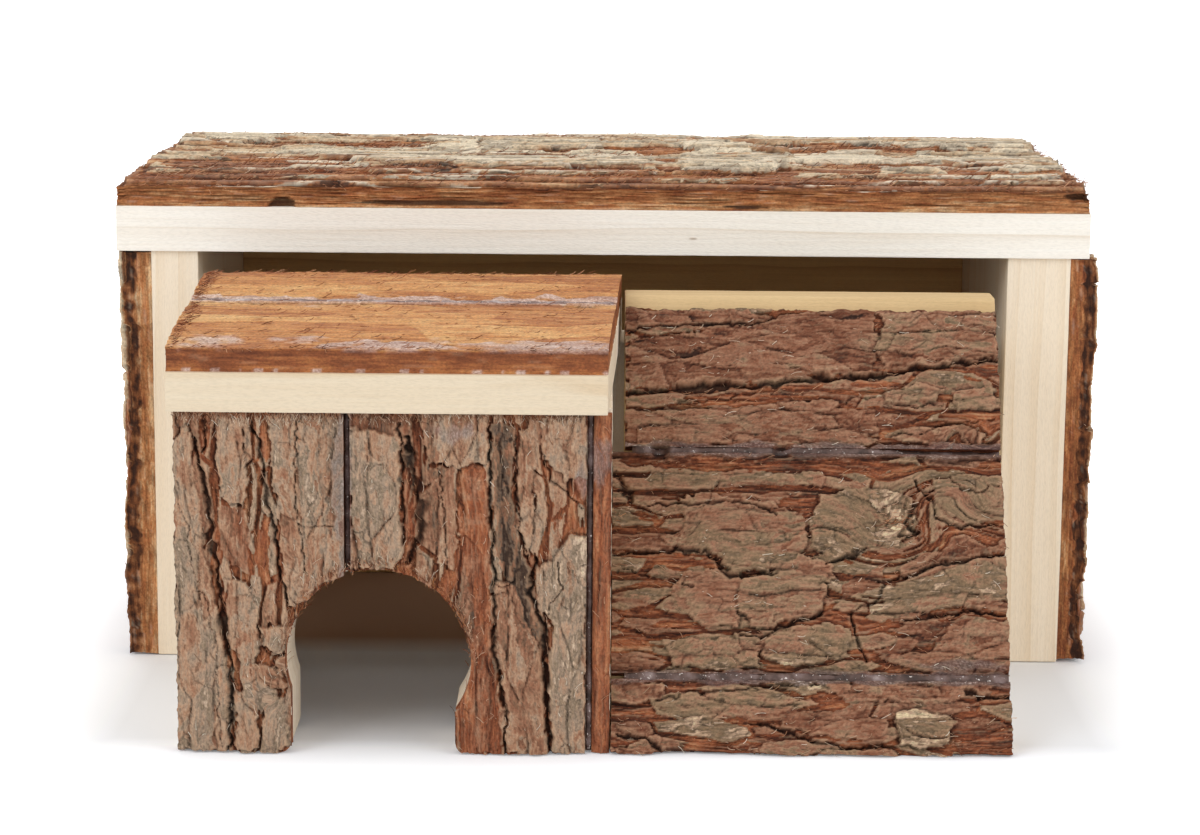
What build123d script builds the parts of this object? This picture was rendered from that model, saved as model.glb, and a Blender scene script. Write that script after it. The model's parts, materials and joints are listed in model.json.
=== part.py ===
from build123d import *
import os
from math import cos, radians, sin, tan

os.makedirs("parts", exist_ok=True)

# A bark-clad hamster house in two halves. The open-fronted house stands at the back, and a
# porch half with an arched doorway and a leaning climbing ramp slides out of it like a drawer.
# Millimetres. X runs to the right, Y to the back, Z up. The origin is on the ground, at the
# middle of the whole object with the porch half pulled out.

# House
inner_width = 250.0  # clear width between the side boards
inner_depth = 115.0  # clear depth, front of the walls to the back board
wall_height = 128.5
left_board = 14.5
right_board = 19.5
back_board = 15.0
left_bark = 11.0  # bark sizes are taken at the crest of each slab
right_bark = 9.5
back_bark = 7.0
back_inset = 5.0  # the back board sits this far inside the ends of the side boards
wall_front_slab = 68.0  # the rest of each side wall is its back slab
back_lower_slab = 64.0
roof_board = 14.0
roof_bark = 13.5
roof_front_slab = 68.0
roof_lip = 1.5  # the roof's front edge stands ahead of the walls
roof_back_lip = 4.5
roof_left_inset = 0.5  # the roof's ends stay inside the outer faces of the side barks
roof_right_inset = 4.0

# Porch half
pull_out = 107.5  # from the roof's front edge to the porch's front edge
left_gap = 6.0  # running room beside the porch half
right_gap = 8.0
back_gap = 3.5  # behind its walls when it is pushed in
headroom = 2.0  # between the crest of the porch roof and the roof of the house
ramp_headroom = 8.0

# Porch
porch_left_slab = 48.5
porch_right_slab = 67.5
porch_edge_slab = 6.0
porch_board = 22.0
porch_bark = 7.0
edge_bark = 3.5
porch_setback = 0.5  # the bark stays behind the roof's front edge
porch_wall = 12.0
porch_pitch = 5.8  # degrees, rising to the back
porch_roof_board = 11.0
porch_roof_bark = 8.5
porch_roof_edge_share = 0.84  # its slabs are flatter than the others
porch_roof_front_slab = 56.0
porch_roof_back_slab = 37.0
porch_roof_lap = 1.0  # past the porch's left side
porch_roof_short = 1.3  # short of the porch's right side, at the front edge
porch_roof_skew = 2.6  # degrees, how far out of square its right end is sawn
porch_roof_sawn_off = 3.0  # what the plumb cut takes off its front slab

# Doorway: a hole-saw circle with a narrower slot sawn up into it
door_diameter = 52.0
door_from_left = 57.0
door_axis_height = 27.0
door_slot = 46.0
door_slot_shift = -1.5
door_toe_radius = 3.5

# Ramp
ramp_lean = 29.5  # degrees from upright
ramp_board = 10.0
ramp_bark = 7.0
ramp_lower_slab = 24.6
ramp_middle_slab = 68.0
ramp_bark_drop = 2.0  # the bark stops below the boards' level top
ramp_top_inset = 3.6  # the upper slab clears the end of the porch roof
ramp_sawn_off = 1.0  # what the level cuts take off the slabs at the foot and the top
ramp_wall = 12.0
cleat_width = 10.0
cleat_depth = 12.0

# Bark, glue and brads
bark_round = 0.68  # thickness at a slab's edge, as a share of its crest
furrow_pitch = 13.0
furrow_depth = 2.6
furrow_width = 3.4
seam_gap = 1.6  # groove between the barks of two slabs, holding the glue
glue_below = 1.0  # the glue stops short of the bark's edge
# Sawn and broken edges of the roof's bark step down in layers: how far in, and the height left there
roof_front_layers = ((1.2, 6.2), (3.5, 7.8), (8.0, 9.4), (15.0, 10.8))
roof_back_layers = ((1.5, 7.0), (5.0, 9.2))
roof_left_layers = ((3.0, 5.6), (8.0, 9.0))
roof_right_layers = ((2.5, 5.6), (6.0, 9.2))
# Where outer bark has flaked off the roof: start and end as shares of the slab's length, distance of the
# middle from the slab's front edge, half the width, and depth
roof_front_flaked = (
    (0.08, 0.27, 24.0, 8.0, 1.6),
    (0.34, 0.52, 48.0, 8.0, 2.2),
    (0.65, 0.93, 23.5, 6.5, 1.5),
    (0.85, 0.985, 52.0, 7.0, 2.0),
    (0.20, 0.36, 37.5, 1.8, 2.4),
    (0.53, 0.70, 36.5, 3.0, 2.0),
)
roof_back_flaked = (
    (0.09, 0.32, 20.0, 6.0, 1.6),
    (0.40, 0.62, 13.0, 5.5, 1.7),
    (0.68, 0.92, 20.0, 8.0, 1.8),
    (0.13, 0.46, 43.0, 6.5, 1.6),
    (0.56, 0.87, 42.0, 7.0, 1.7),
    (0.30, 0.75, 62.0, 3.8, 1.5),
    (0.45, 0.61, 30.0, 1.6, 2.2),
    (0.05, 0.21, 33.0, 1.6, 2.0),
)
brad_width = 1.3
brad_thick = 1.0
brad_head_width = 2.2
brad_head_height = 1.0
roof_brad = 32.0
wall_brad = 36.0
porch_front_brad = 40.0
porch_roof_brad = 26.0
ramp_brad = 19.0
brad_edge_share = 0.25  # how far in from a slab's edges its brads stand
ramp_foot_brad_share = 0.73  # the lowest slab has one row, above the slope of the walls' feet

# Places that follow from the sizes
house_width = left_bark + left_board + inner_width + right_board + right_bark
roof_length = house_width - roof_left_inset - roof_right_inset
roof_depth = roof_lip + inner_depth + back_board + back_inset + roof_back_lip
left_face = -house_width / 2
porch_front_y = -(pull_out + roof_depth) / 2
roof_front_y = porch_front_y + pull_out
roof_back_y = roof_front_y + roof_depth
wall_front_y = roof_front_y + roof_lip
inner_back_y = wall_front_y + inner_depth
back_face_y = inner_back_y + back_board
wall_back_y = back_face_y + back_inset
wall_slab_y = wall_front_y + wall_front_slab
left_board_x = left_face + left_bark
inner_left_x = left_board_x + left_board
inner_right_x = inner_left_x + inner_width
right_board_x = inner_right_x + right_board
roof_left_x = left_face + roof_left_inset
roof_seam_y = roof_front_y + roof_front_slab
roof_top = wall_height + roof_board

unit_left_x = inner_left_x + left_gap
unit_right_x = inner_right_x - right_gap
unit_back_y = inner_back_y - pull_out - back_gap
porch_width = porch_left_slab + porch_right_slab + porch_edge_slab
porch_seam_x = unit_left_x + porch_left_slab
porch_edge_x = porch_seam_x + porch_right_slab
porch_right_x = unit_left_x + porch_width
porch_bark_y = porch_front_y + porch_setback + porch_bark
porch_wall_y = porch_bark_y + porch_board
door_x = unit_left_x + door_from_left
door_slot_x = door_x + door_slot_shift
slope = radians(porch_pitch)
porch_roof_run = porch_roof_front_slab + porch_roof_back_slab
porch_roof_back_y = porch_front_y + porch_roof_run * cos(slope)
unit_wall_top = wall_height - headroom - (porch_roof_board + porch_roof_bark) * cos(slope)
porch_eaves = unit_wall_top - porch_roof_run * sin(slope)  # under the porch roof's front edge
porch_roof_left_x = unit_left_x - porch_roof_lap
porch_roof_right_x = porch_right_x - porch_roof_short

lean = radians(ramp_lean)
ramp_top = wall_height - ramp_headroom
ramp_upper_seam = ramp_lower_slab + ramp_middle_slab
ramp_back = ramp_board + ramp_bark
ramp_board_end = (ramp_top + ramp_bark * sin(lean)) / cos(lean)  # at the level top, in front
ramp_reach = (ramp_top + ramp_back * sin(lean)) / cos(lean) + ramp_sawn_off
ramp_length = unit_right_x - porch_right_x

# The porch roof and the ramp are drawn on their own sloping planes. On both, the sketch's X
# runs up the slope, its Y out of the surface, and the plane faces along the object's X.
upslope = (0, cos(slope), sin(slope))
roof_normal = (0, -sin(slope), cos(slope))
up_ramp = (0, sin(lean), cos(lean))
ramp_normal = (0, -cos(lean), sin(lean))
along_x = (1, 0, 0)
eaves_plane = Plane(origin=(0, porch_front_y, porch_eaves), x_dir=along_x, z_dir=roof_normal)


def porch_roof_plane(x):
    return Plane(origin=(x, porch_front_y, porch_eaves), x_dir=upslope, z_dir=along_x)


def ramp_plane(x):
    return Plane(origin=(x, porch_front_y + porch_setback, 0), x_dir=up_ramp, z_dir=along_x)


def save(piece, name):
    piece.part.label = name
    export_step(piece.part, f"parts/{name}.step")


def bark_crown(width, crest, start=0.0, edge_share=bark_round):
    """A slab of bark across its grain: flat against its board, and rounded like the log outside."""
    edge = crest * edge_share
    end = start + width
    with BuildLine() as outline:
        Polyline((start, edge), (start, 0), (end, 0), (end, edge))
        ThreePointArc((end, edge), (start + width / 2, crest), (start, edge))
    make_face(outline.edges())


def bark_section(width, crest, phase, start=0.0, edge_share=bark_round):
    """A crowned slab of bark, with furrows between its plates."""
    bark_crown(width, crest, start, edge_share)
    edge = crest * edge_share
    furrows = max(1, round(width / furrow_pitch))
    for i in range(furrows):
        share = (i + 0.5 + 0.24 * sin(2.3 * i + phase)) / furrows
        surface = edge + (crest - edge) * (1 - (2 * share - 1) ** 2)
        depth = min(furrow_depth, 0.45 * edge) * (0.8 + 0.2 * cos(1.7 * i + phase))
        lip = crest + 1
        half = furrow_width / 2 * (lip - surface + depth) / depth
        x = start + share * width
        Polygon(
            (x, surface - depth), (x + half, lip), (x - half, lip), align=None, mode=Mode.SUBTRACT
        )


# Cuts everything above a height off a strip along the edge of a slab of the roof's bark.
def layer_off(x, y, length, depth, height):
    with Locations((x, y, roof_top + height)):
        Box(length, depth, roof_bark, align=(Align.MIN, Align.MIN, Align.MIN), mode=Mode.SUBTRACT)


# Cuts a long pocket with pointed ends where the outer bark of a roof slab has flaked off.
def flake_off(y, width, start, end, across, half, depth):
    run = (end - start) * roof_length
    x0 = roof_left_x + start * roof_length
    x1 = x0 + run
    middle = y + across
    edge = roof_bark * bark_round
    surface = edge + (roof_bark - edge) * (1 - (2 * across / width - 1) ** 2)
    with BuildSketch(Plane.XY.offset(roof_top + surface - depth)) as outline:
        Polygon(
            (x0, middle),
            (x0 + 0.15 * run, middle - 0.8 * half),
            (x1 - 0.30 * run, middle - half),
            (x1, middle - 0.2 * half),
            (x1 - 0.25 * run, middle + 0.8 * half),
            (x0 + 0.20 * run, middle + half),
            align=None,
        )
    extrude(outline.sketch, amount=roof_bark, mode=Mode.SUBTRACT)


# Brads are slips of flat wire with a T head. Each place is a location whose Z points out of
# the board that the head lies on.
def shanks(places, length, mode=Mode.ADD):
    with Locations(*places):
        Box(brad_width, brad_thick, length, align=(Align.CENTER, Align.CENTER, Align.MAX), mode=mode)


def heads(places, height=brad_head_height, mode=Mode.ADD):
    with Locations(*places):
        Box(brad_head_width, brad_thick, height, align=(Align.CENTER, Align.CENTER, Align.MIN), mode=mode)


def head_pockets(places, bark):
    heads(places, bark + 1, Mode.SUBTRACT)


def brad_shares(start, end):
    run = end - start
    return (start + brad_edge_share * run, end - brad_edge_share * run)


roof_rows = brad_shares(roof_front_y, roof_seam_y) + brad_shares(roof_seam_y, wall_back_y)
side_mids = ((left_board_x + inner_left_x) / 2, (inner_right_x + right_board_x) / 2)
back_mid_y = inner_back_y + back_board / 2
back_rows = brad_shares(0, back_lower_slab) + brad_shares(back_lower_slab, wall_height)
roof_brad_places = [
    Plane(origin=(x, y, roof_top), x_dir=along_x, z_dir=(0, 0, 1)).location
    for x in side_mids
    for y in roof_rows
]
roof_brad_places += [
    Plane(origin=(x, back_mid_y, roof_top), x_dir=along_x, z_dir=(0, 0, 1)).location
    for x in brad_shares(inner_left_x, inner_right_x)
]
left_brad_places = [
    Plane(origin=(left_board_x, back_mid_y, z), x_dir=(0, 0, 1), z_dir=(-1, 0, 0)).location
    for z in back_rows
]
right_brad_places = [
    Plane(origin=(right_board_x, back_mid_y, z), x_dir=(0, 0, 1), z_dir=along_x).location
    for z in back_rows
]
unit_wall_mids = (unit_left_x + porch_wall / 2, porch_right_x - porch_wall / 2)
porch_front_brad_places = [
    Plane(origin=(x, porch_bark_y, z), x_dir=(0, 0, 1), z_dir=(0, -1, 0)).location
    for x in (unit_wall_mids[0], porch_edge_x - porch_wall / 4)
    for z in brad_shares(0, porch_eaves)
]
porch_roof_rows = brad_shares(0, porch_roof_front_slab) + brad_shares(
    porch_roof_front_slab, porch_roof_run
)
porch_roof_brad_places = [
    Plane(
        origin=porch_roof_plane(x).from_local_coords((u, porch_roof_board, 0)),
        x_dir=along_x,
        z_dir=roof_normal,
    ).location
    for x in unit_wall_mids
    for u in porch_roof_rows
]
ramp_rows = (ramp_foot_brad_share * ramp_lower_slab,)
ramp_rows += brad_shares(ramp_lower_slab, ramp_upper_seam)
ramp_rows += brad_shares(ramp_upper_seam, ramp_board_end)
ramp_brad_places = [
    Plane(
        origin=ramp_plane(x).from_local_coords((s, -ramp_bark, 0)), x_dir=along_x, z_dir=ramp_normal
    ).location
    for x in (porch_right_x + cleat_width / 2, unit_right_x - ramp_wall / 2)
    for s in ramp_rows
]

# Roof of the house: two slabs side by side, bark up, with the grain along the house
for name, y0, y1, bark_start, edge_layers, flaked in (
    ("front", roof_front_y, roof_seam_y, roof_front_y, roof_front_layers, roof_front_flaked),
    ("back", roof_seam_y, roof_back_y, roof_seam_y + seam_gap / 2, roof_back_layers, roof_back_flaked),
):
    with BuildPart() as roof_slab_board:
        with BuildSketch(Plane.XY.offset(wall_height)):
            with Locations((roof_left_x, y0)):
                Rectangle(roof_length, y1 - y0, align=Align.MIN)
        extrude(amount=roof_board)
        shanks(roof_brad_places, roof_brad, Mode.SUBTRACT)
    save(roof_slab_board, f"roof_{name}_board")

    with BuildPart() as roof_slab_bark:
        bark_width = y1 - y0 - seam_gap / 2
        bark_origin = (roof_left_x, bark_start, roof_top)
        with BuildSketch(Plane(origin=bark_origin, x_dir=(0, 1, 0), z_dir=along_x)):
            bark_crown(bark_width, roof_bark)
        extrude(amount=roof_length)
        for reach, height in edge_layers:
            edge_y = bark_start if name == "front" else roof_back_y - reach
            layer_off(roof_left_x, edge_y, roof_length, reach, height)
        for reach, height in roof_left_layers:
            layer_off(roof_left_x, bark_start, reach, bark_width, height)
        for reach, height in roof_right_layers:
            layer_off(roof_left_x + roof_length - reach, bark_start, reach, bark_width, height)
        for patch in flaked:
            flake_off(bark_start, bark_width, *patch)
        head_pockets(roof_brad_places, roof_bark)
    save(roof_slab_bark, f"roof_{name}_bark")

# Side walls: two slabs each, bark outside, with the grain upright
for side, name, y0, y1, seams, phase in (
    ("left", "front", wall_front_y, wall_slab_y, (0, 1), 1.3),
    ("left", "back", wall_slab_y, wall_back_y, (1, 0), 4.1),
    ("right", "front", wall_front_y, wall_slab_y, (0, 1), 5.2),
    ("right", "back", wall_slab_y, wall_back_y, (1, 0), 0.9),
):
    on_left = side == "left"
    board_x = left_board_x if on_left else inner_right_x
    board = left_board if on_left else right_board
    bark = left_bark if on_left else right_bark
    wall_brad_places = left_brad_places if on_left else right_brad_places
    with BuildPart() as wall_slab_board:
        with BuildSketch():
            with Locations((board_x, y0)):
                Rectangle(board, y1 - y0, align=Align.MIN)
        extrude(amount=wall_height)
        shanks(roof_brad_places, roof_brad, Mode.SUBTRACT)
        shanks(wall_brad_places, wall_brad, Mode.SUBTRACT)
    save(wall_slab_board, f"{side}_wall_{name}_board")

    # The left bark's sketch runs to the back and the right bark's to the front
    near, far = (y0, y1) if on_left else (y1, y0)
    run = (0, 1, 0) if on_left else (0, -1, 0)
    face_x = left_board_x if on_left else right_board_x
    starts_at_seam = seams[0] if on_left else seams[1]
    with BuildPart() as wall_slab_bark:
        with BuildSketch(Plane(origin=(face_x, near, 0), x_dir=run, z_dir=(0, 0, 1))):
            bark_width = y1 - y0 - seam_gap / 2
            bark_section(bark_width, bark, phase, start=starts_at_seam * seam_gap / 2)
        extrude(amount=wall_height)
        head_pockets(wall_brad_places, bark)
    save(wall_slab_bark, f"{side}_wall_{name}_bark")

# Back wall: two slabs, one on the other, between the side walls
for name, z0, z1, seams, phase in (
    ("lower", 0.0, back_lower_slab, (0, 1), 3.4),
    ("upper", back_lower_slab, wall_height, (1, 0), 1.8),
):
    with BuildPart() as back_slab_board:
        with BuildSketch(Plane.XY.offset(z0)):
            with Locations((inner_left_x, inner_back_y)):
                Rectangle(inner_width, back_board, align=Align.MIN)
        extrude(amount=z1 - z0)
        shanks(roof_brad_places, roof_brad, Mode.SUBTRACT)
        shanks(left_brad_places + right_brad_places, wall_brad, Mode.SUBTRACT)
    save(back_slab_board, f"back_wall_{name}_board")

    with BuildPart() as back_slab_bark:
        with BuildSketch(Plane(origin=(inner_right_x, back_face_y, z0), x_dir=(0, 0, 1), z_dir=(-1, 0, 0))):
            bark_width = z1 - z0 - seam_gap / 2
            bark_section(bark_width, back_bark, phase, start=seams[0] * seam_gap / 2)
        extrude(amount=inner_width)
    save(back_slab_bark, f"back_wall_{name}_bark")

# Beads of glue in the grooves between the house's slabs
with BuildPart() as house_glue:
    roof_bead = roof_bark * bark_round - glue_below
    bead_start, bead_end = roof_left_layers[0][0], roof_length - roof_right_layers[0][0]
    with Locations((roof_left_x + bead_start, roof_seam_y, roof_top)):
        Box(bead_end - bead_start, seam_gap, roof_bead, align=(Align.MIN, Align.CENTER, Align.MIN))
    left_bead = left_bark * bark_round - glue_below
    with Locations((left_board_x, wall_slab_y, 0)):
        Box(left_bead, seam_gap, wall_height, align=(Align.MAX, Align.CENTER, Align.MIN))
    right_bead = right_bark * bark_round - glue_below
    with Locations((right_board_x, wall_slab_y, 0)):
        Box(right_bead, seam_gap, wall_height, align=(Align.MIN, Align.CENTER, Align.MIN))
    back_bead = back_bark * bark_round - glue_below
    with Locations((inner_left_x, back_face_y, back_lower_slab)):
        Box(inner_width, back_bead, seam_gap, align=(Align.MIN, Align.MIN, Align.CENTER))
save(house_glue, "house_seam_glue")

with BuildPart() as roof_brads:
    shanks(roof_brad_places, roof_brad)
    heads(roof_brad_places)
save(roof_brads, "roof_brads")

with BuildPart() as wall_brads:
    shanks(left_brad_places + right_brad_places, wall_brad)
    heads(left_brad_places + right_brad_places)
save(wall_brads, "wall_brads")


# Porch front: slabs with the grain upright, sawn to the slope of the porch roof
with BuildSketch(Plane.XZ.offset(-porch_front_y)) as doorway:
    with Locations((door_x, door_axis_height)):
        Circle(door_diameter / 2)
    with Locations((door_slot_x, 0)):
        Rectangle(door_slot, door_axis_height, align=(Align.CENTER, Align.MIN))


def cut_doorway():
    extrude(doorway.sketch, amount=-(porch_wall_y - porch_front_y + 1), mode=Mode.SUBTRACT)


def round_toe(side):
    """Rounds the foot of the leg on one side of the doorway, -1 for left and 1 for right."""
    x = door_slot_x + side * door_slot / 2
    toes = edges().filter_by(Axis.Y).filter_by_position(Axis.Z, -0.01, 0.01)
    fillet(toes.filter_by_position(Axis.X, x - 0.01, x + 0.01), radius=door_toe_radius)


for name, x0, x1, bark, start_gap, end_gap, toe, phase in (
    ("left", unit_left_x, porch_seam_x, porch_bark, 0.0, 0.5, -1, 2.2),
    ("right", porch_seam_x, porch_edge_x, porch_bark, 0.5, 0.5, 1, 0.2),
    ("edge", porch_edge_x, porch_right_x, edge_bark, 0.5, 0.0, 0, 1.0),
):
    with BuildPart() as porch_slab_board:
        with BuildSketch():
            with Locations((x0, porch_bark_y)):
                Rectangle(x1 - x0, porch_board, align=Align.MIN)
        extrude(amount=porch_eaves + porch_board)
        split(bisect_by=eaves_plane, keep=Keep.BOTTOM)
        shanks(porch_front_brad_places, porch_front_brad, Mode.SUBTRACT)
        shanks(porch_roof_brad_places, porch_roof_brad, Mode.SUBTRACT)
        cut_doorway()
        if toe:
            round_toe(toe)
    save(porch_slab_board, f"porch_front_{name}_board")

    # This sketch runs to the left, so that the bark's crest faces forward
    with BuildPart() as porch_slab_bark:
        with BuildSketch(Plane(origin=(x1, porch_bark_y, 0), x_dir=(-1, 0, 0), z_dir=(0, 0, 1))):
            bark_width = x1 - x0 - (start_gap + end_gap) * seam_gap
            bark_section(bark_width, bark, phase, start=end_gap * seam_gap)
        extrude(amount=porch_eaves + porch_board)
        split(bisect_by=eaves_plane, keep=Keep.BOTTOM)
        head_pockets(porch_front_brad_places, porch_bark)
        cut_doorway()
        if toe:
            round_toe(toe)
    save(porch_slab_bark, f"porch_front_{name}_bark")


# Walls of the porch half, running back into the house
def unit_wall(x, thickness, front_outline):
    with BuildSketch(Plane.YZ.offset(x)) as outline:
        Polygon(*front_outline, (unit_back_y, unit_wall_top), (unit_back_y, 0), align=None)
    extrude(outline.sketch, amount=thickness)


porch_wall_front_top = porch_eaves + (porch_wall_y - porch_front_y) * tan(slope)
under_porch_roof = (
    (porch_wall_y, 0),
    (porch_wall_y, porch_wall_front_top),
    (porch_roof_back_y, unit_wall_top),
)
for name, x in (("left", unit_left_x), ("middle", porch_right_x - porch_wall)):
    with BuildPart() as porch_side:
        unit_wall(x, porch_wall, under_porch_roof)
        shanks(porch_front_brad_places, porch_front_brad, Mode.SUBTRACT)
        shanks(porch_roof_brad_places, porch_roof_brad, Mode.SUBTRACT)
    save(porch_side, f"porch_{name}_wall")


def behind_ramp(z, depth=ramp_back):
    """The Y of a plane at the given depth behind the ramp's face, at height z."""
    return porch_front_y + porch_setback + z * tan(lean) + depth / cos(lean)


with BuildPart() as ramp_side:
    behind = ((behind_ramp(0), 0), (behind_ramp(unit_wall_top), unit_wall_top))
    unit_wall(unit_right_x - ramp_wall, ramp_wall, behind)
    shanks(ramp_brad_places, ramp_brad, Mode.SUBTRACT)
save(ramp_side, "ramp_right_wall")

with BuildPart() as cleat:
    with BuildSketch(ramp_plane(porch_right_x)):
        with Locations((0, -ramp_back)):
            Rectangle(ramp_reach, cleat_depth, align=(Align.MIN, Align.MAX))
    extrude(amount=cleat_width)
    split(bisect_by=Plane.XY, keep=Keep.TOP)
    split(bisect_by=eaves_plane, keep=Keep.BOTTOM)
    shanks(ramp_brad_places, ramp_brad, Mode.SUBTRACT)
save(cleat, "ramp_cleat")

# Porch roof: two slabs, sawn plumb at the front and out of square at the right end
porch_roof_end = Plane(
    origin=(porch_roof_right_x, porch_front_y, 0),
    x_dir=(0, 0, 1),
    z_dir=(cos(radians(porch_roof_skew)), -sin(radians(porch_roof_skew)), 0),
)
porch_roof_reach = porch_width + porch_roof_run * tan(radians(porch_roof_skew))


def trim_porch_roof():
    split(bisect_by=porch_roof_end, keep=Keep.BOTTOM)
    split(bisect_by=Plane.XZ.offset(-porch_front_y), keep=Keep.BOTTOM)


for name, u0, u1, phase in (
    ("front", -porch_roof_sawn_off, porch_roof_front_slab, 3.0),
    ("back", porch_roof_front_slab, porch_roof_run, 1.2),
):
    with BuildPart() as porch_roof_slab_board:
        with BuildSketch(porch_roof_plane(porch_roof_left_x)):
            with Locations((u0, 0)):
                Rectangle(u1 - u0, porch_roof_board, align=Align.MIN)
        extrude(amount=porch_roof_reach)
        trim_porch_roof()
        shanks(porch_roof_brad_places, porch_roof_brad, Mode.SUBTRACT)
    save(porch_roof_slab_board, f"porch_roof_{name}_board")

    bark_start = u0 + (seam_gap / 2 if name == "back" else 0)
    with BuildPart() as porch_roof_slab_bark:
        with BuildSketch(
            Plane(
                origin=porch_roof_plane(porch_roof_left_x).from_local_coords((0, porch_roof_board, 0)),
                x_dir=upslope,
                z_dir=along_x,
            )
        ):
            bark_width = u1 - u0 - seam_gap / 2
            bark_section(bark_width, porch_roof_bark, phase, bark_start, porch_roof_edge_share)
        extrude(amount=porch_roof_reach)
        trim_porch_roof()
        head_pockets(porch_roof_brad_places, porch_roof_bark)
    save(porch_roof_slab_bark, f"porch_roof_{name}_bark")

# Ramp: three slabs with the grain across, sawn level at the ground and at the top
for name, s0, s1, start_gap, end_gap, inset, phase in (
    ("lower", -ramp_sawn_off, ramp_lower_slab, 0.0, 0.5, 0.0, 0.6),
    ("middle", ramp_lower_slab, ramp_upper_seam, 0.5, 0.5, 0.0, 2.0),
    ("upper", ramp_upper_seam, ramp_reach, 0.5, 0.0, ramp_top_inset, 4.6),
):
    left_x = porch_right_x + inset
    with BuildPart() as ramp_slab_board:
        with BuildSketch(ramp_plane(left_x)):
            with Locations((s0, -ramp_bark)):
                Rectangle(s1 - s0, ramp_board, align=(Align.MIN, Align.MAX))
        extrude(amount=ramp_length - inset)
        split(bisect_by=Plane.XY, keep=Keep.TOP)
        split(bisect_by=Plane.XY.offset(ramp_top), keep=Keep.BOTTOM)
        shanks(ramp_brad_places, ramp_brad, Mode.SUBTRACT)
    save(ramp_slab_board, f"ramp_{name}_board")

    with BuildPart() as ramp_slab_bark:
        with BuildSketch(
            Plane(
                origin=ramp_plane(left_x).from_local_coords((0, -ramp_bark, 0)),
                x_dir=up_ramp,
                z_dir=along_x,
            )
        ):
            bark_width = s1 - s0 - (start_gap + end_gap) * seam_gap
            bark_section(bark_width, ramp_bark, phase, start=s0 + start_gap * seam_gap)
        extrude(amount=ramp_length - inset)
        split(bisect_by=Plane.XY, keep=Keep.TOP)
        split(bisect_by=Plane.XY.offset(ramp_top - ramp_bark_drop), keep=Keep.BOTTOM)
        head_pockets(ramp_brad_places, ramp_bark)
    save(ramp_slab_bark, f"ramp_{name}_bark")

# Glue in the porch half's seams
with BuildPart() as porch_glue:
    porch_bead = porch_bark * bark_round - glue_below
    edge_bead = edge_bark * bark_round - glue_below
    with Locations((porch_seam_x, porch_bark_y, 0)):
        Box(seam_gap, porch_bead, porch_eaves, align=(Align.CENTER, Align.MAX, Align.MIN))
    with Locations((porch_edge_x, porch_bark_y, 0)):
        Box(seam_gap, edge_bead, porch_eaves, align=(Align.CENTER, Align.MAX, Align.MIN))
    cut_doorway()
save(porch_glue, "porch_front_glue")

with BuildPart() as porch_roof_glue:
    roof_bead = porch_roof_bark * porch_roof_edge_share - glue_below
    with BuildSketch(porch_roof_plane(porch_roof_left_x)):
        with Locations((porch_roof_front_slab, porch_roof_board)):
            Rectangle(seam_gap, roof_bead, align=(Align.CENTER, Align.MIN))
    extrude(amount=porch_roof_reach)
    split(bisect_by=porch_roof_end, keep=Keep.BOTTOM)
save(porch_roof_glue, "porch_roof_glue")

with BuildPart() as ramp_glue:
    ramp_bead = ramp_bark * bark_round - glue_below
    with BuildSketch(ramp_plane(porch_right_x + ramp_top_inset)):
        with Locations((ramp_lower_slab, -ramp_bark), (ramp_upper_seam, -ramp_bark)):
            Rectangle(seam_gap, ramp_bead, align=(Align.CENTER, Align.MIN))
    extrude(amount=ramp_length - ramp_top_inset)
save(ramp_glue, "ramp_seam_glue")

with BuildPart() as porch_brads:
    shanks(porch_front_brad_places, porch_front_brad)
    heads(porch_front_brad_places)
    shanks(porch_roof_brad_places, porch_roof_brad)
    heads(porch_roof_brad_places)
save(porch_brads, "porch_brads")

with BuildPart() as ramp_brads:
    shanks(ramp_brad_places, ramp_brad)
    heads(ramp_brad_places)
save(ramp_brads, "ramp_brads")
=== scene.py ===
import bpy, bmesh, json
import numpy as np
from math import cos, sin, tan, pi, radians, hypot
from mathutils import Matrix, Vector

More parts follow.
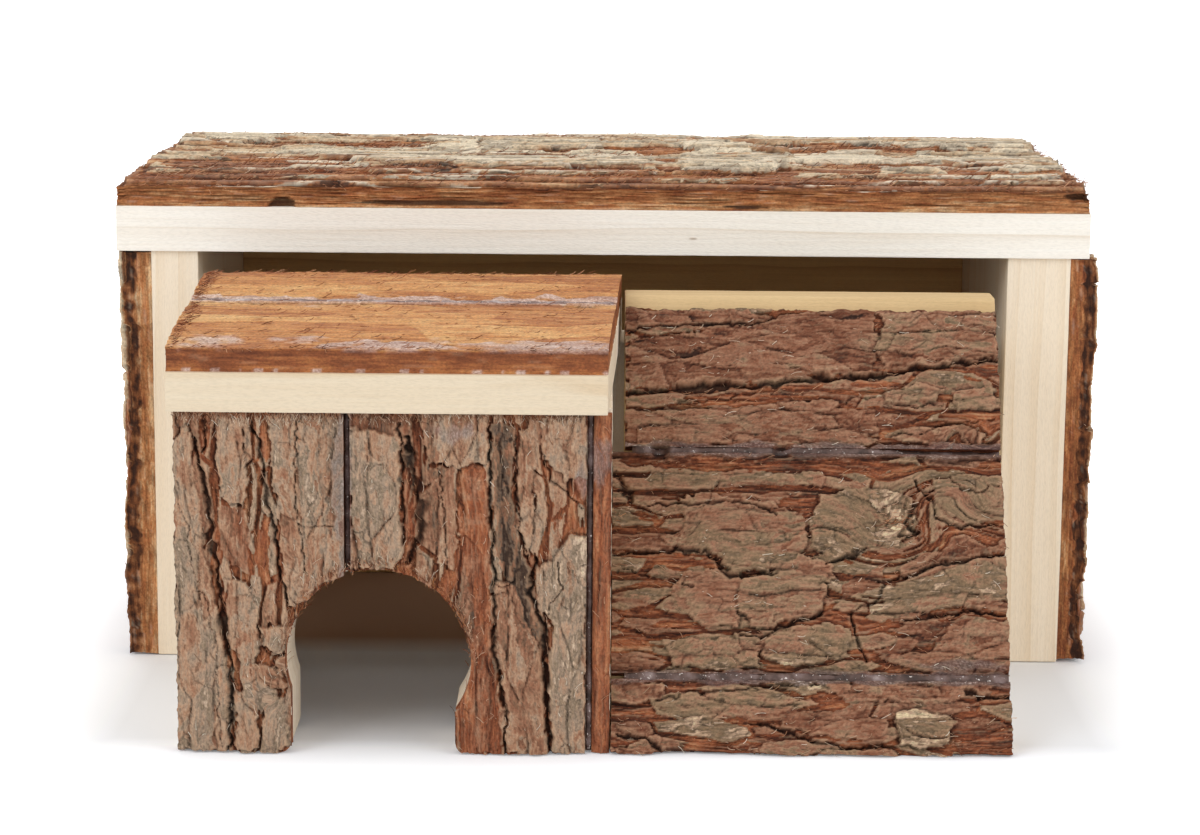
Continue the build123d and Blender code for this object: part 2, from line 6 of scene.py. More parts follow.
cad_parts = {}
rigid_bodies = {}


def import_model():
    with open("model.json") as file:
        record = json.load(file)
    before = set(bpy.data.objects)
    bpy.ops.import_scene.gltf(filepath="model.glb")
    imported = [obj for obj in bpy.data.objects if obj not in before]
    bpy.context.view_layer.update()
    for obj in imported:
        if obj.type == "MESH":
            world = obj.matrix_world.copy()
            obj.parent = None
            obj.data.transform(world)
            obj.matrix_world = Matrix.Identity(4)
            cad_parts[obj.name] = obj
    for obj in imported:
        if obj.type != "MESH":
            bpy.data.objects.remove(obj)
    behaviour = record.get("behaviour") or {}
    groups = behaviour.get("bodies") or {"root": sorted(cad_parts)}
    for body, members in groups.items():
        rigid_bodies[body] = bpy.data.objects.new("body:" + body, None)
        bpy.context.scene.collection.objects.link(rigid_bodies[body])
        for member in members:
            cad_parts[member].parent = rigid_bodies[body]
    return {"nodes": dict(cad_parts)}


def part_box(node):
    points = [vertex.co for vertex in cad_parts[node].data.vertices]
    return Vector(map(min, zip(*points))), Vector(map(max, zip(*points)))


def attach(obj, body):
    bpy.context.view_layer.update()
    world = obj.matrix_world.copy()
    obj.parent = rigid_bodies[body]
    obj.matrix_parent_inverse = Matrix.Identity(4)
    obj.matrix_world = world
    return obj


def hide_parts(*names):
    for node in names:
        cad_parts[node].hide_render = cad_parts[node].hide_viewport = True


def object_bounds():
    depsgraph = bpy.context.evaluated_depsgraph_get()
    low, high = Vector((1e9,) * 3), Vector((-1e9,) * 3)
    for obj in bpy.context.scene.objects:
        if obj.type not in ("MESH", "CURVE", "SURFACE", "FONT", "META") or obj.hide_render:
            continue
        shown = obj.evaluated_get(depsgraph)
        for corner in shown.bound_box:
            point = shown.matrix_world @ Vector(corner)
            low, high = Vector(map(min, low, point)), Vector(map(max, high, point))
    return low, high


for thing in list(bpy.data.objects):  # an empty scene, whatever the start-up file holds
    bpy.data.objects.remove(thing)
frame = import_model()
cadBox = [[float(x) for x in corner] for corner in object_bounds()]

# Millimetres throughout, turned to metres as each mesh is made. Every slab has its own directions:
# u runs along the grain, v across it and n out of the bark.
mm = 0.001
xAxis, yAxis, zAxis = (np.array(a, float) for a in ((1, 0, 0), (0, 1, 0), (0, 0, 1)))


# The two corners of a CAD node
def nodeBox(name):
    low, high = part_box(name)
    return np.array(low) / mm, np.array(high) / mm


# An sRGB hex code as a linear colour
def linear(code):
    parts = [int(code[i:i + 2], 16) / 255 for i in (1, 3, 5)]
    return tuple(c / 12.92 if c <= 0.04045 else ((c + 0.055) / 1.055) ** 2.4 for c in parts) + (1.0,)


# Adds a node with its settings. An input is a value, a socket, or a node whose result it takes.
def addNode(tree, kind, inputs=None, stops=None, **settings):
    node = tree.nodes.new(kind)
    for key, value in settings.items():
        setattr(node, key, value)
    for key, value in (inputs or {}).items():
        if isinstance(value, bpy.types.Node):
            value = value.outputs[2 if value.bl_idname == "ShaderNodeMix" else 0]
        if isinstance(value, bpy.types.NodeSocket):
            tree.links.new(value, node.inputs[key])
        else:
            node.inputs[key].default_value = value
    if stops:
        while len(node.color_ramp.elements) < len(stops):
            node.color_ramp.elements.new(1.0)
        for element, (place, code) in zip(node.color_ramp.elements, stops):
            element.position = place
            element.color = linear(code) if isinstance(code, str) else (code, code, code, 1.0)
    return node


def newMaterial(name):
    material = bpy.data.materials.new(name)
    material.use_nodes = True
    material.node_tree.nodes.clear()
    return material, material.node_tree


# Fields that a material reads, stored at a mesh's points
def storeField(mesh, label, kind, values):
    key = "vector" if kind == "FLOAT_VECTOR" else "value"
    values = values.astype(np.float32).reshape(-1)
    mesh.attributes.new(label, kind, "POINT").data.foreach_set(key, values)


def quadsOf(index):
    corners = (index[:-1, :-1], index[1:, :-1], index[1:, 1:], index[:-1, 1:])
    return np.stack(corners, -1).reshape(-1, 4)


# A number from 0 to 1 for each pair of whole numbers, always the same for the same seed
def hashOf(ix, iy, seed):
    n = (ix.astype(np.int64) * 73856093) ^ (iy.astype(np.int64) * 19349663) ^ np.int64(seed * 83492791)
    n = ((n ^ (n >> 13)) * 1274126177) & 0x7FFFFFFF
    n = ((n ^ (n >> 15)) * 668265263) & 0x7FFFFFFF
    return ((n ^ (n >> 16)) & 0xFFFF) / 65535.0


# Smooth noise on arrays of places, about -1 to 1, with one swell for each unit of x and y
def noise(x, y, seed):
    ix, iy = np.floor(x), np.floor(y)
    fx, fy = x - ix, y - iy
    sx, sy = (t * t * t * (t * (t * 6 - 15) + 10) for t in (fx, fy))
    total = 0
    for dx in (0, 1):
        for dy in (0, 1):
            angle = 2 * pi * hashOf(ix + dx, iy + dy, seed)
            slope = np.cos(angle) * (fx - dx) + np.sin(angle) * (fy - dy)
            total = total + slope * (sx if dx else 1 - sx) * (sy if dy else 1 - sy)
    return 1.5 * total


def fractal(x, y, seed, octaves):
    return sum(
        noise(x * 2**k + 17.3 * k, y * 2**k - 9.1 * k, seed + 31 * k) / 2**k for k in range(octaves))


def ridges(x, y, seed):
    return 1 - 2.4 * np.abs(noise(x, y, seed))


def smooth(low, high, x):
    t = np.clip((x - low) / (high - low), 0, 1)
    return t * t * (3 - 2 * t)


def blend(a, b, t):
    return a + (b - a) * t


# Cells that are long along x: distance to the border in mm, how far that border runs along x,
# and a number from 0 to 1 for each cell
def cells(x, y, long, wide, seed):
    gx, gy = x / long, y / wide
    iy = np.floor(gy)
    spots = []
    for dy in (-1, 0, 1):
        row = iy + dy
        shift = hashOf(row, row * 0 + 7, seed + 2)
        ix = np.floor(gx + shift)
        for dx in (-1, 0, 1):
            column = ix + dx
            px = column + 0.5 + 0.8 * (hashOf(column, row, seed) - 0.5) - shift
            py = row + 0.5 + 0.75 * (hashOf(column, row, seed + 1) - 0.5)
            spots.append(np.stack([(gx - px) ** 2 + (gy - py) ** 2, px, py, hashOf(column, row, seed + 3)]))
    spots = np.stack(spots)
    nearest = spots[:, 0].argmin(0)
    own = np.take_along_axis(spots, nearest[None, None], 0)[0]
    border = np.full(x.shape, 1e9)
    along = np.ones(x.shape)
    for k, spot in enumerate(spots):
        ex, ey = (spot[1] - own[1]) / long, (spot[2] - own[2]) / wide
        size = np.sqrt(ex * ex + ey * ey) + 1e-9
        reach = np.where(nearest == k, 1e9, (spot[0] - own[0]) / (2 * size))
        along = np.where(reach < border, np.abs(ey) / size, along)
        border = np.minimum(border, reach)
    return border, along, own[3]


# Distance to an outline, positive inside it
def insideBy(x, y, points):
    best = np.full(x.shape, 1e9)
    inside = np.zeros(x.shape, bool)
    for (ax, ay), (bx, by) in zip(points, points[1:] + points[:1]):
        ex, ey = bx - ax, by - ay
        t = np.clip(((x - ax) * ex + (y - ay) * ey) / (ex * ex + ey * ey + 1e-9), 0, 1)
        best = np.minimum(best, (x - ax - t * ex) ** 2 + (y - ay - t * ey) ** 2)
        inside ^= ((ay > y) != (by > y)) & (x < ex * (y - ay) / (ey + 1e-12) + ax)
    return np.where(inside, 1, -1) * np.sqrt(best)


# Distance to a line through the points, and the share of its length that is passed
def alongLine(x, y, points):
    best = np.full(x.shape, 1e9)
    share = np.zeros(x.shape)
    lengths = [hypot(bx - ax, by - ay) for (ax, ay), (bx, by) in zip(points, points[1:])]
    passed = 0
    for (ax, ay), (bx, by), length in zip(points, points[1:], lengths):
        ex, ey = bx - ax, by - ay
        t = np.clip(((x - ax) * ex + (y - ay) * ey) / (length**2 + 1e-9), 0, 1)
        gap = (x - ax - t * ex) ** 2 + (y - ay - t * ey) ** 2
        share = np.where(gap < best, (passed + t * length) / sum(lengths), share)
        best = np.minimum(best, gap)
        passed += length
    return np.sqrt(best), share


# Box blur of a grid, by running sums
def blurred(h, reach):
    for axis in (0, 1):
        wide = np.pad(h, [(reach + 1, reach) if a == axis else (0, 0) for a in (0, 1)], mode="edge")
        total = wide.cumsum(axis)
        n = h.shape[axis]
        upper = np.take(total, range(2 * reach + 1, 2 * reach + 1 + n), axis)
        lower = np.take(total, range(0, n), axis)
        h = (upper - lower) / (2 * reach + 1)
    return h


barkHabit = {
    "plateLong": 46.0,  # mm along the grain, for plates that aren't laid out one by one
    "plateWide": 11.5,
    "gap": 0.9,  # half the width of a furrow
    "fissure": 1.9,  # depth of a furrow
    "cover": 1.0,  # 1 leaves the plates on, 0 keeps only those in the slab's own list
    "peel": -0.18,  # higher values strip more plates
    "flake": 0.34,  # height of one flaked layer
    "channel": 1.1,  # how far the reddish under-bark lies below the plates
    "edge": 0.68,  # thickness at the slab's long edges, as a share of its crest
    "sunk": 1.5,  # the surface's mean level below the slab's crest
    "fibre": 1.0,  # height of the fibres
    "toneShift": 0.0,  # how much lighter all plates are
    "sawnTone": 0.4,  # how light the sawn sides are
    "lift": 0.45,  # how far a plate stands above the slab's mean level
    "step": 0.5,  # mesh spacing along the grain
    "stepAcross": 0.0,  # the same across the grain, where it differs
    "stretch": 1.0,  # how much longer layers run along the grain
    "uneven": 0.8,  # how much plates differ in height
    "swell": 0.8,  # broad rise and fall of the whole slab
    "rows": 6,  # rings of faces down the sawn edges
    "skew": 0.0,  # how much longer the slab gets for each mm across
    "ragged": (0.5, 0.5, 0.3, 0.3),  # how far the edges are broken back: u low, u high, v low, v high
    "standing": 0.75,  # share of the height given to each plate in the list
    "opened": 0.62,  # share of the width given to each crack in the list
    "plates": [],  # plates laid out one by one: tone, height, how much outer bark is left, outline
    "cracks": [],  # half the width, depth, line
    "swirls": [],  # where the grain turns: middle, reach, turn in radians
    "glue": [],  # smears: middle, reach along and across, strength
    "flaked": [],  # outer bark gone: start, end, middle, half the width, depth
    "ledges": [],  # layers that end before the slab's own edge: side, mm from it, height
    "notches": [],  # hollows in the sawn front, darkened with painted shade: middle, half the width, height, depth, level
    "shingles": (),  # thin layers that end one behind the other: spacing across, rise, length along
    "pits": [],  # small holes, darkened with painted shade: middle, reach along and across, depth
    "seams": [],  # sides that are glued to the next slab: side, how far the glue is smeared, its level
    "rough": 1.0,  # height of the finest grit
    "highs": 1.0,  # how strong the painted highlight on the highest places is
    "splits": 0.0,  # how much painted shade darkens the long splits between layers in the sawn front
    "dashes": 0.0,  # 1 for flecks of glue along the joint with the board
    "crust": 0.0,  # share of the slab's thickness that is dark outer bark where it is sawn across
    "layered": 0.32,  # mm that the thin layers stand back from each other in a sawn or broken edge
    "hairs": 0.05,  # loose hairs for each square mm
    "fluffy": 0.1,  # more of them where the outer bark is gone
    "fringes": [],  # tufts: middle along and across, reach along and across, hairs for each square mm
}
beds = {"house": [], "porch_half": []}  # surfaces that loose hairs lie on


# Places as the grain sees them: it wanders, and turns round knots
def bentGrain(u, v, slab):
    seed, s = slab["seed"], slab["stretch"]
    au = u + 2.5 * fractal(u / (35 * s), v / 16, seed + 1, 2)
    av = v + 1.3 * fractal(u / (30 * s), v / 14, seed + 2, 3) + 0.35 * noise(u / (5 * s), v / 3, seed + 3)
    for cu, cv, reach, turn in slab["swirls"]:
        du, dv = u - cu, v - cv
        angle = turn * np.exp(-(du**2 + 1.6 * dv**2) / reach**2)
        au = au + (np.cos(angle) - 1) * du - np.sin(angle) * dv
        av = av + np.sin(angle) * du + (np.cos(angle) - 1) * dv
    return au, av


# Thin layers that end one behind the other: height, change of tone, pale slivers that are partly a painted
# highlight, and painted shadow lines under each layer
def shingled(u, v, skin, slab):
    seed = slab["seed"]
    pitch, rise, run = slab["shingles"]
    t = (v + 2.4 * fractal(u / 60, v / 9, seed + 70, 3) + 0.3 * noise(u / 8, v / 2, seed + 71)) / pitch
    row = np.floor(t)
    saw = t - row
    part = np.floor(u / run + 7 * hashOf(row, row * 0, seed + 72))
    pick, size = hashOf(row, part, seed + 73), hashOf(row, part, seed + 74)
    thin = hashOf(row, np.floor(2 * u / run + 5 * hashOf(row, row * 0, seed + 76)), seed + 75)
    ledge = rise * (0.3 + 1.1 * size) * (smooth(0, 0.14, saw) * (1 - saw) - 0.35)
    tint = (0.7 * (pick - 0.5) + 0.14 * (saw < 0.3)) * (0.35 + 0.65 * skin)
    sliver = (thin > 0.7) * smooth(0.21, 0.15, saw) * smooth(0.04, 0.1, saw)
    return ledge, tint, sliver, 0.95 * (size > 0.25) * smooth(0.8, 0.93, saw)


# Height above the board and the fields that colour it, on a grid of places
def barkRelief(u, v, slab):
    seed, s, rough = slab["seed"], slab["stretch"], slab["rough"]
    edge = slab["edge"] * slab["crest"]
    crown = edge + (slab["crest"] - edge) * (1 - (2 * v / slab["wide"] - 1) ** 2)
    zero = np.zeros(u.shape)

    # Plates of outer bark, as cells of the grain
    au, av = bentGrain(u, v, slab)
    border, along, cell = cells(au, av, slab["plateLong"], slab["plateWide"], seed + 4)
    wander = noise(au / 16, av / 5, seed + 9)
    gap = slab["gap"] * (0.25 + 0.75 * along) * np.clip(0.75 + 0.9 * wander, 0.08, 2)
    peeled = smooth(0, 0.1, fractal(au / (24 * s), av / 6, seed + 10, 4) + slab["peel"])
    skin = smooth(gap, gap + 0.35, border) * (1 - peeled) * slab["cover"]
    tone = 0.5 + 0.5 * (cell - 0.5) + slab["toneShift"]
    lift = slab["lift"] + slab["uneven"] * (hashOf(np.floor(cell * 997), np.floor(cell * 131), seed) - 0.5)

    # Plates laid out one by one, and places where the outer bark has flaked off
    ru = u + s * (1.3 * noise(u / 6, v / 4, seed + 11) + 0.6 * noise(u / 1.9, v / 1.4, seed + 12))
    rv = v + 0.9 * noise(u / (5 * s), v / 4, seed + 13) + 0.5 * noise(u / (1.7 * s), v / 1.3, seed + 14)
    rim, stripped = zero, zero
    for plateTone, plateLift, plateSkin, points in slab["plates"]:
        depth = insideBy(ru, rv, points)
        mask = smooth(-0.1, 0.4, depth)
        lift = blend(lift, plateLift * slab["standing"] + 0.2 * smooth(0, 3, depth), mask)
        tone = blend(tone, plateTone + 0.16 * (cell - 0.5), mask)
        skin = blend(skin, plateSkin, mask)
        # A sunk line round each plate, later darkened with painted shade
        line = np.exp(-(((depth + 0.1) / 0.3) ** 2)) * smooth(-0.25, 0.35, wander)
        rim = np.maximum(rim * (1 - mask), line)
    for start, end, middle, half, deep in slab["flaked"]:
        run = end - start
        gone = smooth(-0.3, 0.5, insideBy(ru, rv, [
            (start, middle), (start + 0.15 * run, middle - 0.8 * half), (end - 0.3 * run, middle - half),
            (end, middle - 0.2 * half), (end - 0.25 * run, middle + 0.8 * half),
            (start + 0.2 * run, middle + half)]))
        lift, skin = blend(lift, slab["channel"] - deep, gone), skin * (1 - gone)
        rim = rim * (1 - gone)
        stripped = np.maximum(stripped, gone * (deep - slab["channel"]))

    # Flaked layers, broad and fine, and short cracks across the plates
    terrace = 2.6 * fractal(au / (12 * s), av / 4.5, seed + 15, 4) + 3 * cell
    level = np.floor(terrace)
    flake = 0.8 * (level - 1.5 + smooth(0.8, 1.0, terrace - level)) * slab["flake"]
    tone = tone + 0.26 * (hashOf(level, np.floor(cell * 997), seed + 16) - 0.5)
    # The brink of each flaked layer, later darkened with painted shade
    brink = smooth(0.72, 0.86, terrace - level) * (1 - smooth(0.86, 0.98, terrace - level))
    fineFlake = 2.0 * fractal(au / (4.5 * s), av / 2.2, seed + 17, 3)
    fineLevel = np.floor(fineFlake)
    flake = flake + 0.11 * (fineLevel + smooth(0.7, 1.0, fineFlake - fineLevel)) * rough
    tone = tone + 0.12 * (hashOf(fineLevel, level, seed + 18) - 0.5)
    crossU, crossV = (w + 1.2 * noise(u / 4, v / 4, seed + k) for w, k in ((u, 5), (v, 6)))
    crossBorder, _, crossCell = cells(crossU, crossV, 13.0 * s, 5.5, seed + 7)
    craze = np.exp(-((crossBorder / 0.24) ** 2))
    craze = craze * smooth(0.0, 0.3, fractal(u / 14, v / 9, seed + 8, 2)) * smooth(0.5, 0.9, skin)
    tone = tone + 0.05 * (crossCell - 0.5)

    coarse = ridges(au / (13 * s), av / 1.15, seed + 19)
    fine = ridges(au / (5 * s), av / 0.62, seed + 20)
    grit = noise(u / 0.9, v / 0.9, seed + 21) + 0.5 * noise(u / 0.45, v / 0.45, seed + 22)
    fibre = slab["fibre"] * blend(0.34 * coarse + 0.16 * fine, 0.07 * coarse + 0.06 * fine, skin)
    ledge, tint, sliver, dark = shingled(u, v, skin, slab) if slab["shingles"] else (0.0, 0.0, zero, zero)
    tone = tone + tint

    # The height, with furrows and cracks cut into it
    h = crown + ledge - slab["sunk"] + slab["swell"] * fractal(u / 42, v / 20, seed + 23, 2) - stripped
    h = h + blend(-slab["channel"] + 0.35 * flake, lift + flake * (1 - 0.3 * peeled), skin) + fibre
    h = h + 0.07 * rough * grit - rim * 0.22 - 0.3 * craze
    furrow = np.exp(-((border / (gap + 0.25)) ** 2)) * (0.25 + 0.75 * along)
    furrow = furrow * (0.0 if slab["plates"] and not slab["cover"] else 1.0)
    h = h - slab["fissure"] * furrow * np.clip(0.7 + 0.8 * wander, 0.05, 1.3) * (1 - 0.7 * peeled)
    hairline = np.exp(-((border / 0.3) ** 2)) * (0.3 + 0.7 * along)
    h = h - 0.45 * hairline * smooth(-0.2, 0.3, wander) * skin
    crackU = u + 0.9 * noise(u / 4, v / 4, seed + 24) + 0.35 * noise(u / 1.3, v / 1.3, seed + 30)
    crackV = v + 0.9 * noise(u / 3.5, v / 3.5, seed + 25) + 0.35 * noise(u / 1.2, v / 1.2, seed + 31)
    for width, depth, points in slab["cracks"]:
        away, share = alongLine(crackU, crackV, points)
        width = slab["opened"] * width * (0.5 + 0.5 * np.sin(pi * np.clip(share, 0.02, 0.98)) ** 0.5)
        width = width * np.clip(1 + 0.9 * noise(u / 4, v / 4, seed + 26), 0.3, 2)
        cut = np.exp(-((away / np.maximum(width, 0.18)) ** 2))
        h = h - depth * cut
        # Painted shade in the crack, darker where the crack is deeper
        dark = np.maximum(dark, cut * min(1, depth / 1.6))

    # Smeared glue, and what happens along the slab's own edges
    glue = zero
    for cu, cv, reachU, reachV, strength in slab["glue"]:
        reach = ((u - cu) / reachU) ** 2 + ((v - cv) / reachV) ** 2
        patch = strength * np.exp(-reach) + 0.35 * fractal(u / 7, v / 3, seed + 27, 3)
        glue = np.maximum(glue, smooth(0.35, 0.75, patch))
    calm = crown - slab["sunk"] + 0.3 + 0.25 * noise(u / 6, v / 2, seed + 28)
    h = blend(h, calm, 0.75 * glue)
    away = {"left": u, "right": slab["long"] - u, "front": v, "back": slab["wide"] - v}
    for side, reach, level in slab["seams"]:
        run = v if side in ("left", "right") else u
        spread = fractal(run / 11, away[side] / 5, seed + 33, 4)
        spread = reach * np.clip(0.75 + 0.8 * spread, 0.12, 2.2)
        band = smooth(spread + 0.25, spread - 0.35, away[side])
        glue = np.maximum(glue, band)
        h = blend(h, level + 0.3 * fractal(u / 5, v / 2, seed + 34, 3) + 0.3 * away[side], 0.9 * band)
    for side, reach, limit in slab["ledges"]:
        place, run = away[side], v / 6 if side in ("left", "right") else u / 34
        brow = reach * (1 + 0.45 * fractal(run, run * 0 + limit, seed + 29, 5))
        layer = limit * (1 + 0.05 * noise(run / 2, run * 0, seed + 32)) + 0.25 * coarse + 0.15 * fine
        under = smooth(-0.35, 0.0, brow - place) * (h > layer)
        h, skin = blend(h, layer, under), skin * (1 - under)
        # Painted shadow under the brow of each ledge
        dark = np.maximum(dark, 0.7 * under * np.exp(-(((brow - place) / 0.6) ** 2)))
    for cu, cv, reachU, reachV, deep in slab["pits"]:
        hole = np.exp(-(((u - cu) / reachU) ** 4) - (((v - cv) / reachV) ** 4))
        # Painted shade in each pit
        h, glue, dark = h - deep * hole, glue * (1 - hole), np.maximum(dark, 1.15 * hole)

    # Painted shade darkens the hollows, cracks and undercuts, and a painted highlight pales the highest
    # places
    h = np.clip(h, 0.28 * edge, slab["crest"] - 0.05)
    near, far = blurred(h, 2), blurred(h, 6)
    paintedShade = np.clip((near - h) / 0.45, 0, 1) * 0.55 + np.clip((far - h) / 1.5, 0, 1) * 0.6
    paintedShade = np.maximum(np.maximum(paintedShade, dark * 0.85), 0.75 * np.maximum(0.8 * craze, 0.5 * rim))
    paintedShade = np.clip(paintedShade + 0.3 * brink * (1 - peeled), 0, 1) * (1 - 0.7 * glue)
    # Pale slivers, and a painted highlight where the bark stands above its surroundings
    paleAndHighlight = np.maximum(slab["highs"] * np.clip((h - near) / 0.3, 0, 1), 1.6 * sliver)
    return h, au, av, tone, skin, paintedShade, glue, paleAndHighlight


# Distance from the doorway's edge, positive in the wood
def doorDistance(u, v, doorway):
    arch = np.hypot(u - doorway["height"], v - doorway["x"]) - doorway["radius"]
    side = np.abs(v - doorway["slotX"]) - doorway["slotWidth"] / 2
    toe = doorway["toe"]
    rounded = toe - np.hypot(u - toe, side - toe)
    atToe = (u < toe) & (side < toe) & (side > 0)
    side = np.where(atToe, np.minimum(side, rounded), side)
    return np.minimum(arch, np.where(u < doorway["height"], side, 99.0))


# Moves a grid's points on to the doorway's edge and leaves out the faces inside it
def cutDoorway(u, v, quads, slab):
    doorway, left, nudge = slab["doorway"], slab["origin"][0], 0.01
    away = doorDistance(u, v + left, doorway)
    slopeU = doorDistance(u + nudge, v + left, doorway) - doorDistance(u - nudge, v + left, doorway)
    slopeV = doorDistance(u, v + left + nudge, doorway) - doorDistance(u, v + left - nudge, doorway)
    near = np.abs(away) < 0.62 * slab["step"]
    u = np.where(near, u - away * (slopeU / (2 * nudge)), u)
    v = np.where(near, v - away * (slopeV / (2 * nudge)), v)
    away = np.where(near, 0.0, away)
    out = (away < 0).reshape(-1)[quads]
    one = quads[out.sum(1) == 1]
    gone = out[out.sum(1) == 1].argmax(1)
    triangles = np.stack([one[np.arange(len(one)), (gone + k) % 4] for k in (1, 2, 3)], -1)
    return u, v, quads[out.sum(1) == 0], triangles, away


# The rings of points round a surface's open edges, each in order
def edgeLoops(quads, triangles, count):
    pairs = [quads[:, [k, (k + 1) % 4]] for k in range(4)]
    pairs = np.concatenate(pairs + [triangles[:, [k, (k + 1) % 3]] for k in range(3)])
    key, back = pairs[:, 0] * count + pairs[:, 1], pairs[:, 1] * count + pairs[:, 0]
    rim = pairs[~np.isin(key, back)]
    follow = dict(zip(rim[:, 0].tolist(), rim[:, 1].tolist()))
    loops = []
    while follow:
        first = next(iter(follow))
        loop = [first]
        while True:
            after = follow.pop(loop[-1])
            if after == first or after not in follow:
                break
            loop.append(after)
        if len(loop) > 12:
            loops.append(np.array(loop))
    return loops


# Rings of points down the sawn or broken side under a loop, each with the fields that colour it
def sideRings(slab, edgePoints, edgeFields):
    seed, rows, crust, splits = (slab[key] for key in ("seed", "rows", "crust", "splits"))
    ahead = np.roll(edgePoints, -1, 0)[:, :2] - np.roll(edgePoints, 1, 0)[:, :2]
    ahead = ahead / (np.linalg.norm(ahead, axis=1, keepdims=True) + 1e-9)
    inward = np.stack([-ahead[:, 1], ahead[:, 0]], -1)
    run = np.cumsum(np.linalg.norm(np.roll(edgePoints, -1, 0)[:, :2] - edgePoints[:, :2], axis=1))
    still = run * 0
    grainwise = np.abs(ahead[:, 0])
    for k in range(1, rows + 1):
        share = k / rows
        height = edgePoints[:, 2] * (1 - share)
        torn = noise(run / 2.0, height / 1.1, seed + 50)
        torn = blend(torn, ridges(run / 16, height / 0.95, seed + 51), grainwise)
        torn = torn + 0.5 * noise(run / blend(0.9, 5, grainwise), height / 0.55, seed + 52)
        torn = torn + 0.35 * noise(run / 1.1, height / 0.7, seed + 54)
        inset = slab["layered"] * np.clip(0.55 + 0.55 * torn, 0, 1.6) * sin(pi * (0.15 + 0.85 * share)) ** 0.5
        # Painted shade on the sawn side, darker where it is torn back
        shade = np.clip(0.08 + 0.45 * torn, 0, 0.75) * slab["rough"]
        # Long splits between layers, darkened with painted shade
        for number, level in enumerate((0.34, 0.5, 0.68, 0.84)):
            line = level * edgePoints[:, 2] + 0.5 * noise(run / 45, still + number, seed + 58) - height
            split = smooth(-0.15, 0.25, noise(run / 24, still + 3 * number, seed + 59))
            split = splits * (np.exp(-((line / 0.26) ** 2)) * split)
            inset, shade = inset + 0.6 * split, np.maximum(shade, split)
        # Notches in the sawn front, darkened with painted shade
        for middle, half, tall, deep, lowest in slab["notches"]:
            notch = np.abs((edgePoints[:, 0] - middle) / half) ** 2 + np.abs((height - lowest) / tall) ** 2
            notch = smooth(1.15, 0.75, notch + 0.25 * torn) * (edgePoints[:, 1] < 2.5)
            inset, shade = inset + deep * notch, np.maximum(shade, 0.95 * notch)
        outer = smooth(0.12, -0.08, share - crust + 0.14 * noise(run / 4, still, seed + 56)) * (crust > 0)
        tone = slab["sawnTone"] + 0.4 * share**2 + 0.25 * noise(run / 9, height / 0.9, seed + 53)
        glue = edgeFields[:, 5] * max(0.0, 1 - 5 * share)
        if share > 0.88:
            glue = slab["dashes"] * smooth(0.15, 0.3, noise(run / 4, still, seed + 61))
        # Paler where the torn side stands forward: pale patches with a painted highlight
        pale = smooth(0.25, 0.7, noise(run / 7, height / 0.8, seed + 55) - 0.4 * torn)
        place = edgePoints.copy()
        place[:, :2] += inward * inset[:, None]
        place[:, 2] = height
        tone = blend(tone, 0.1 + 0.22 * noise(run / 3, height / 2, seed + 57), outer)
        colours = [tone, outer, shade, glue, slab["highs"] * pale]
        yield place, np.concatenate([edgeFields[:, :2], np.stack(colours, -1)], 1)


# A mesh from groups of faces, each group with equally many corners
def meshOf(name, place, groups):
    corners = np.concatenate([group.reshape(-1) for group in groups])
    sizes = np.concatenate([np.full(len(group), group.shape[1]) for group in groups])
    mesh = bpy.data.meshes.new(name)
    mesh.vertices.add(len(place))
    mesh.vertices.foreach_set("co", (place * mm).reshape(-1))
    mesh.loops.add(len(corners))
    mesh.loops.foreach_set("vertex_index", corners)
    mesh.polygons.add(len(sizes))
    mesh.polygons.foreach_set("loop_start", np.cumsum(sizes) - sizes)
    mesh.polygons.foreach_set("loop_total", sizes)
    mesh.update(calc_edges=True)
    mesh.validate()
    return mesh


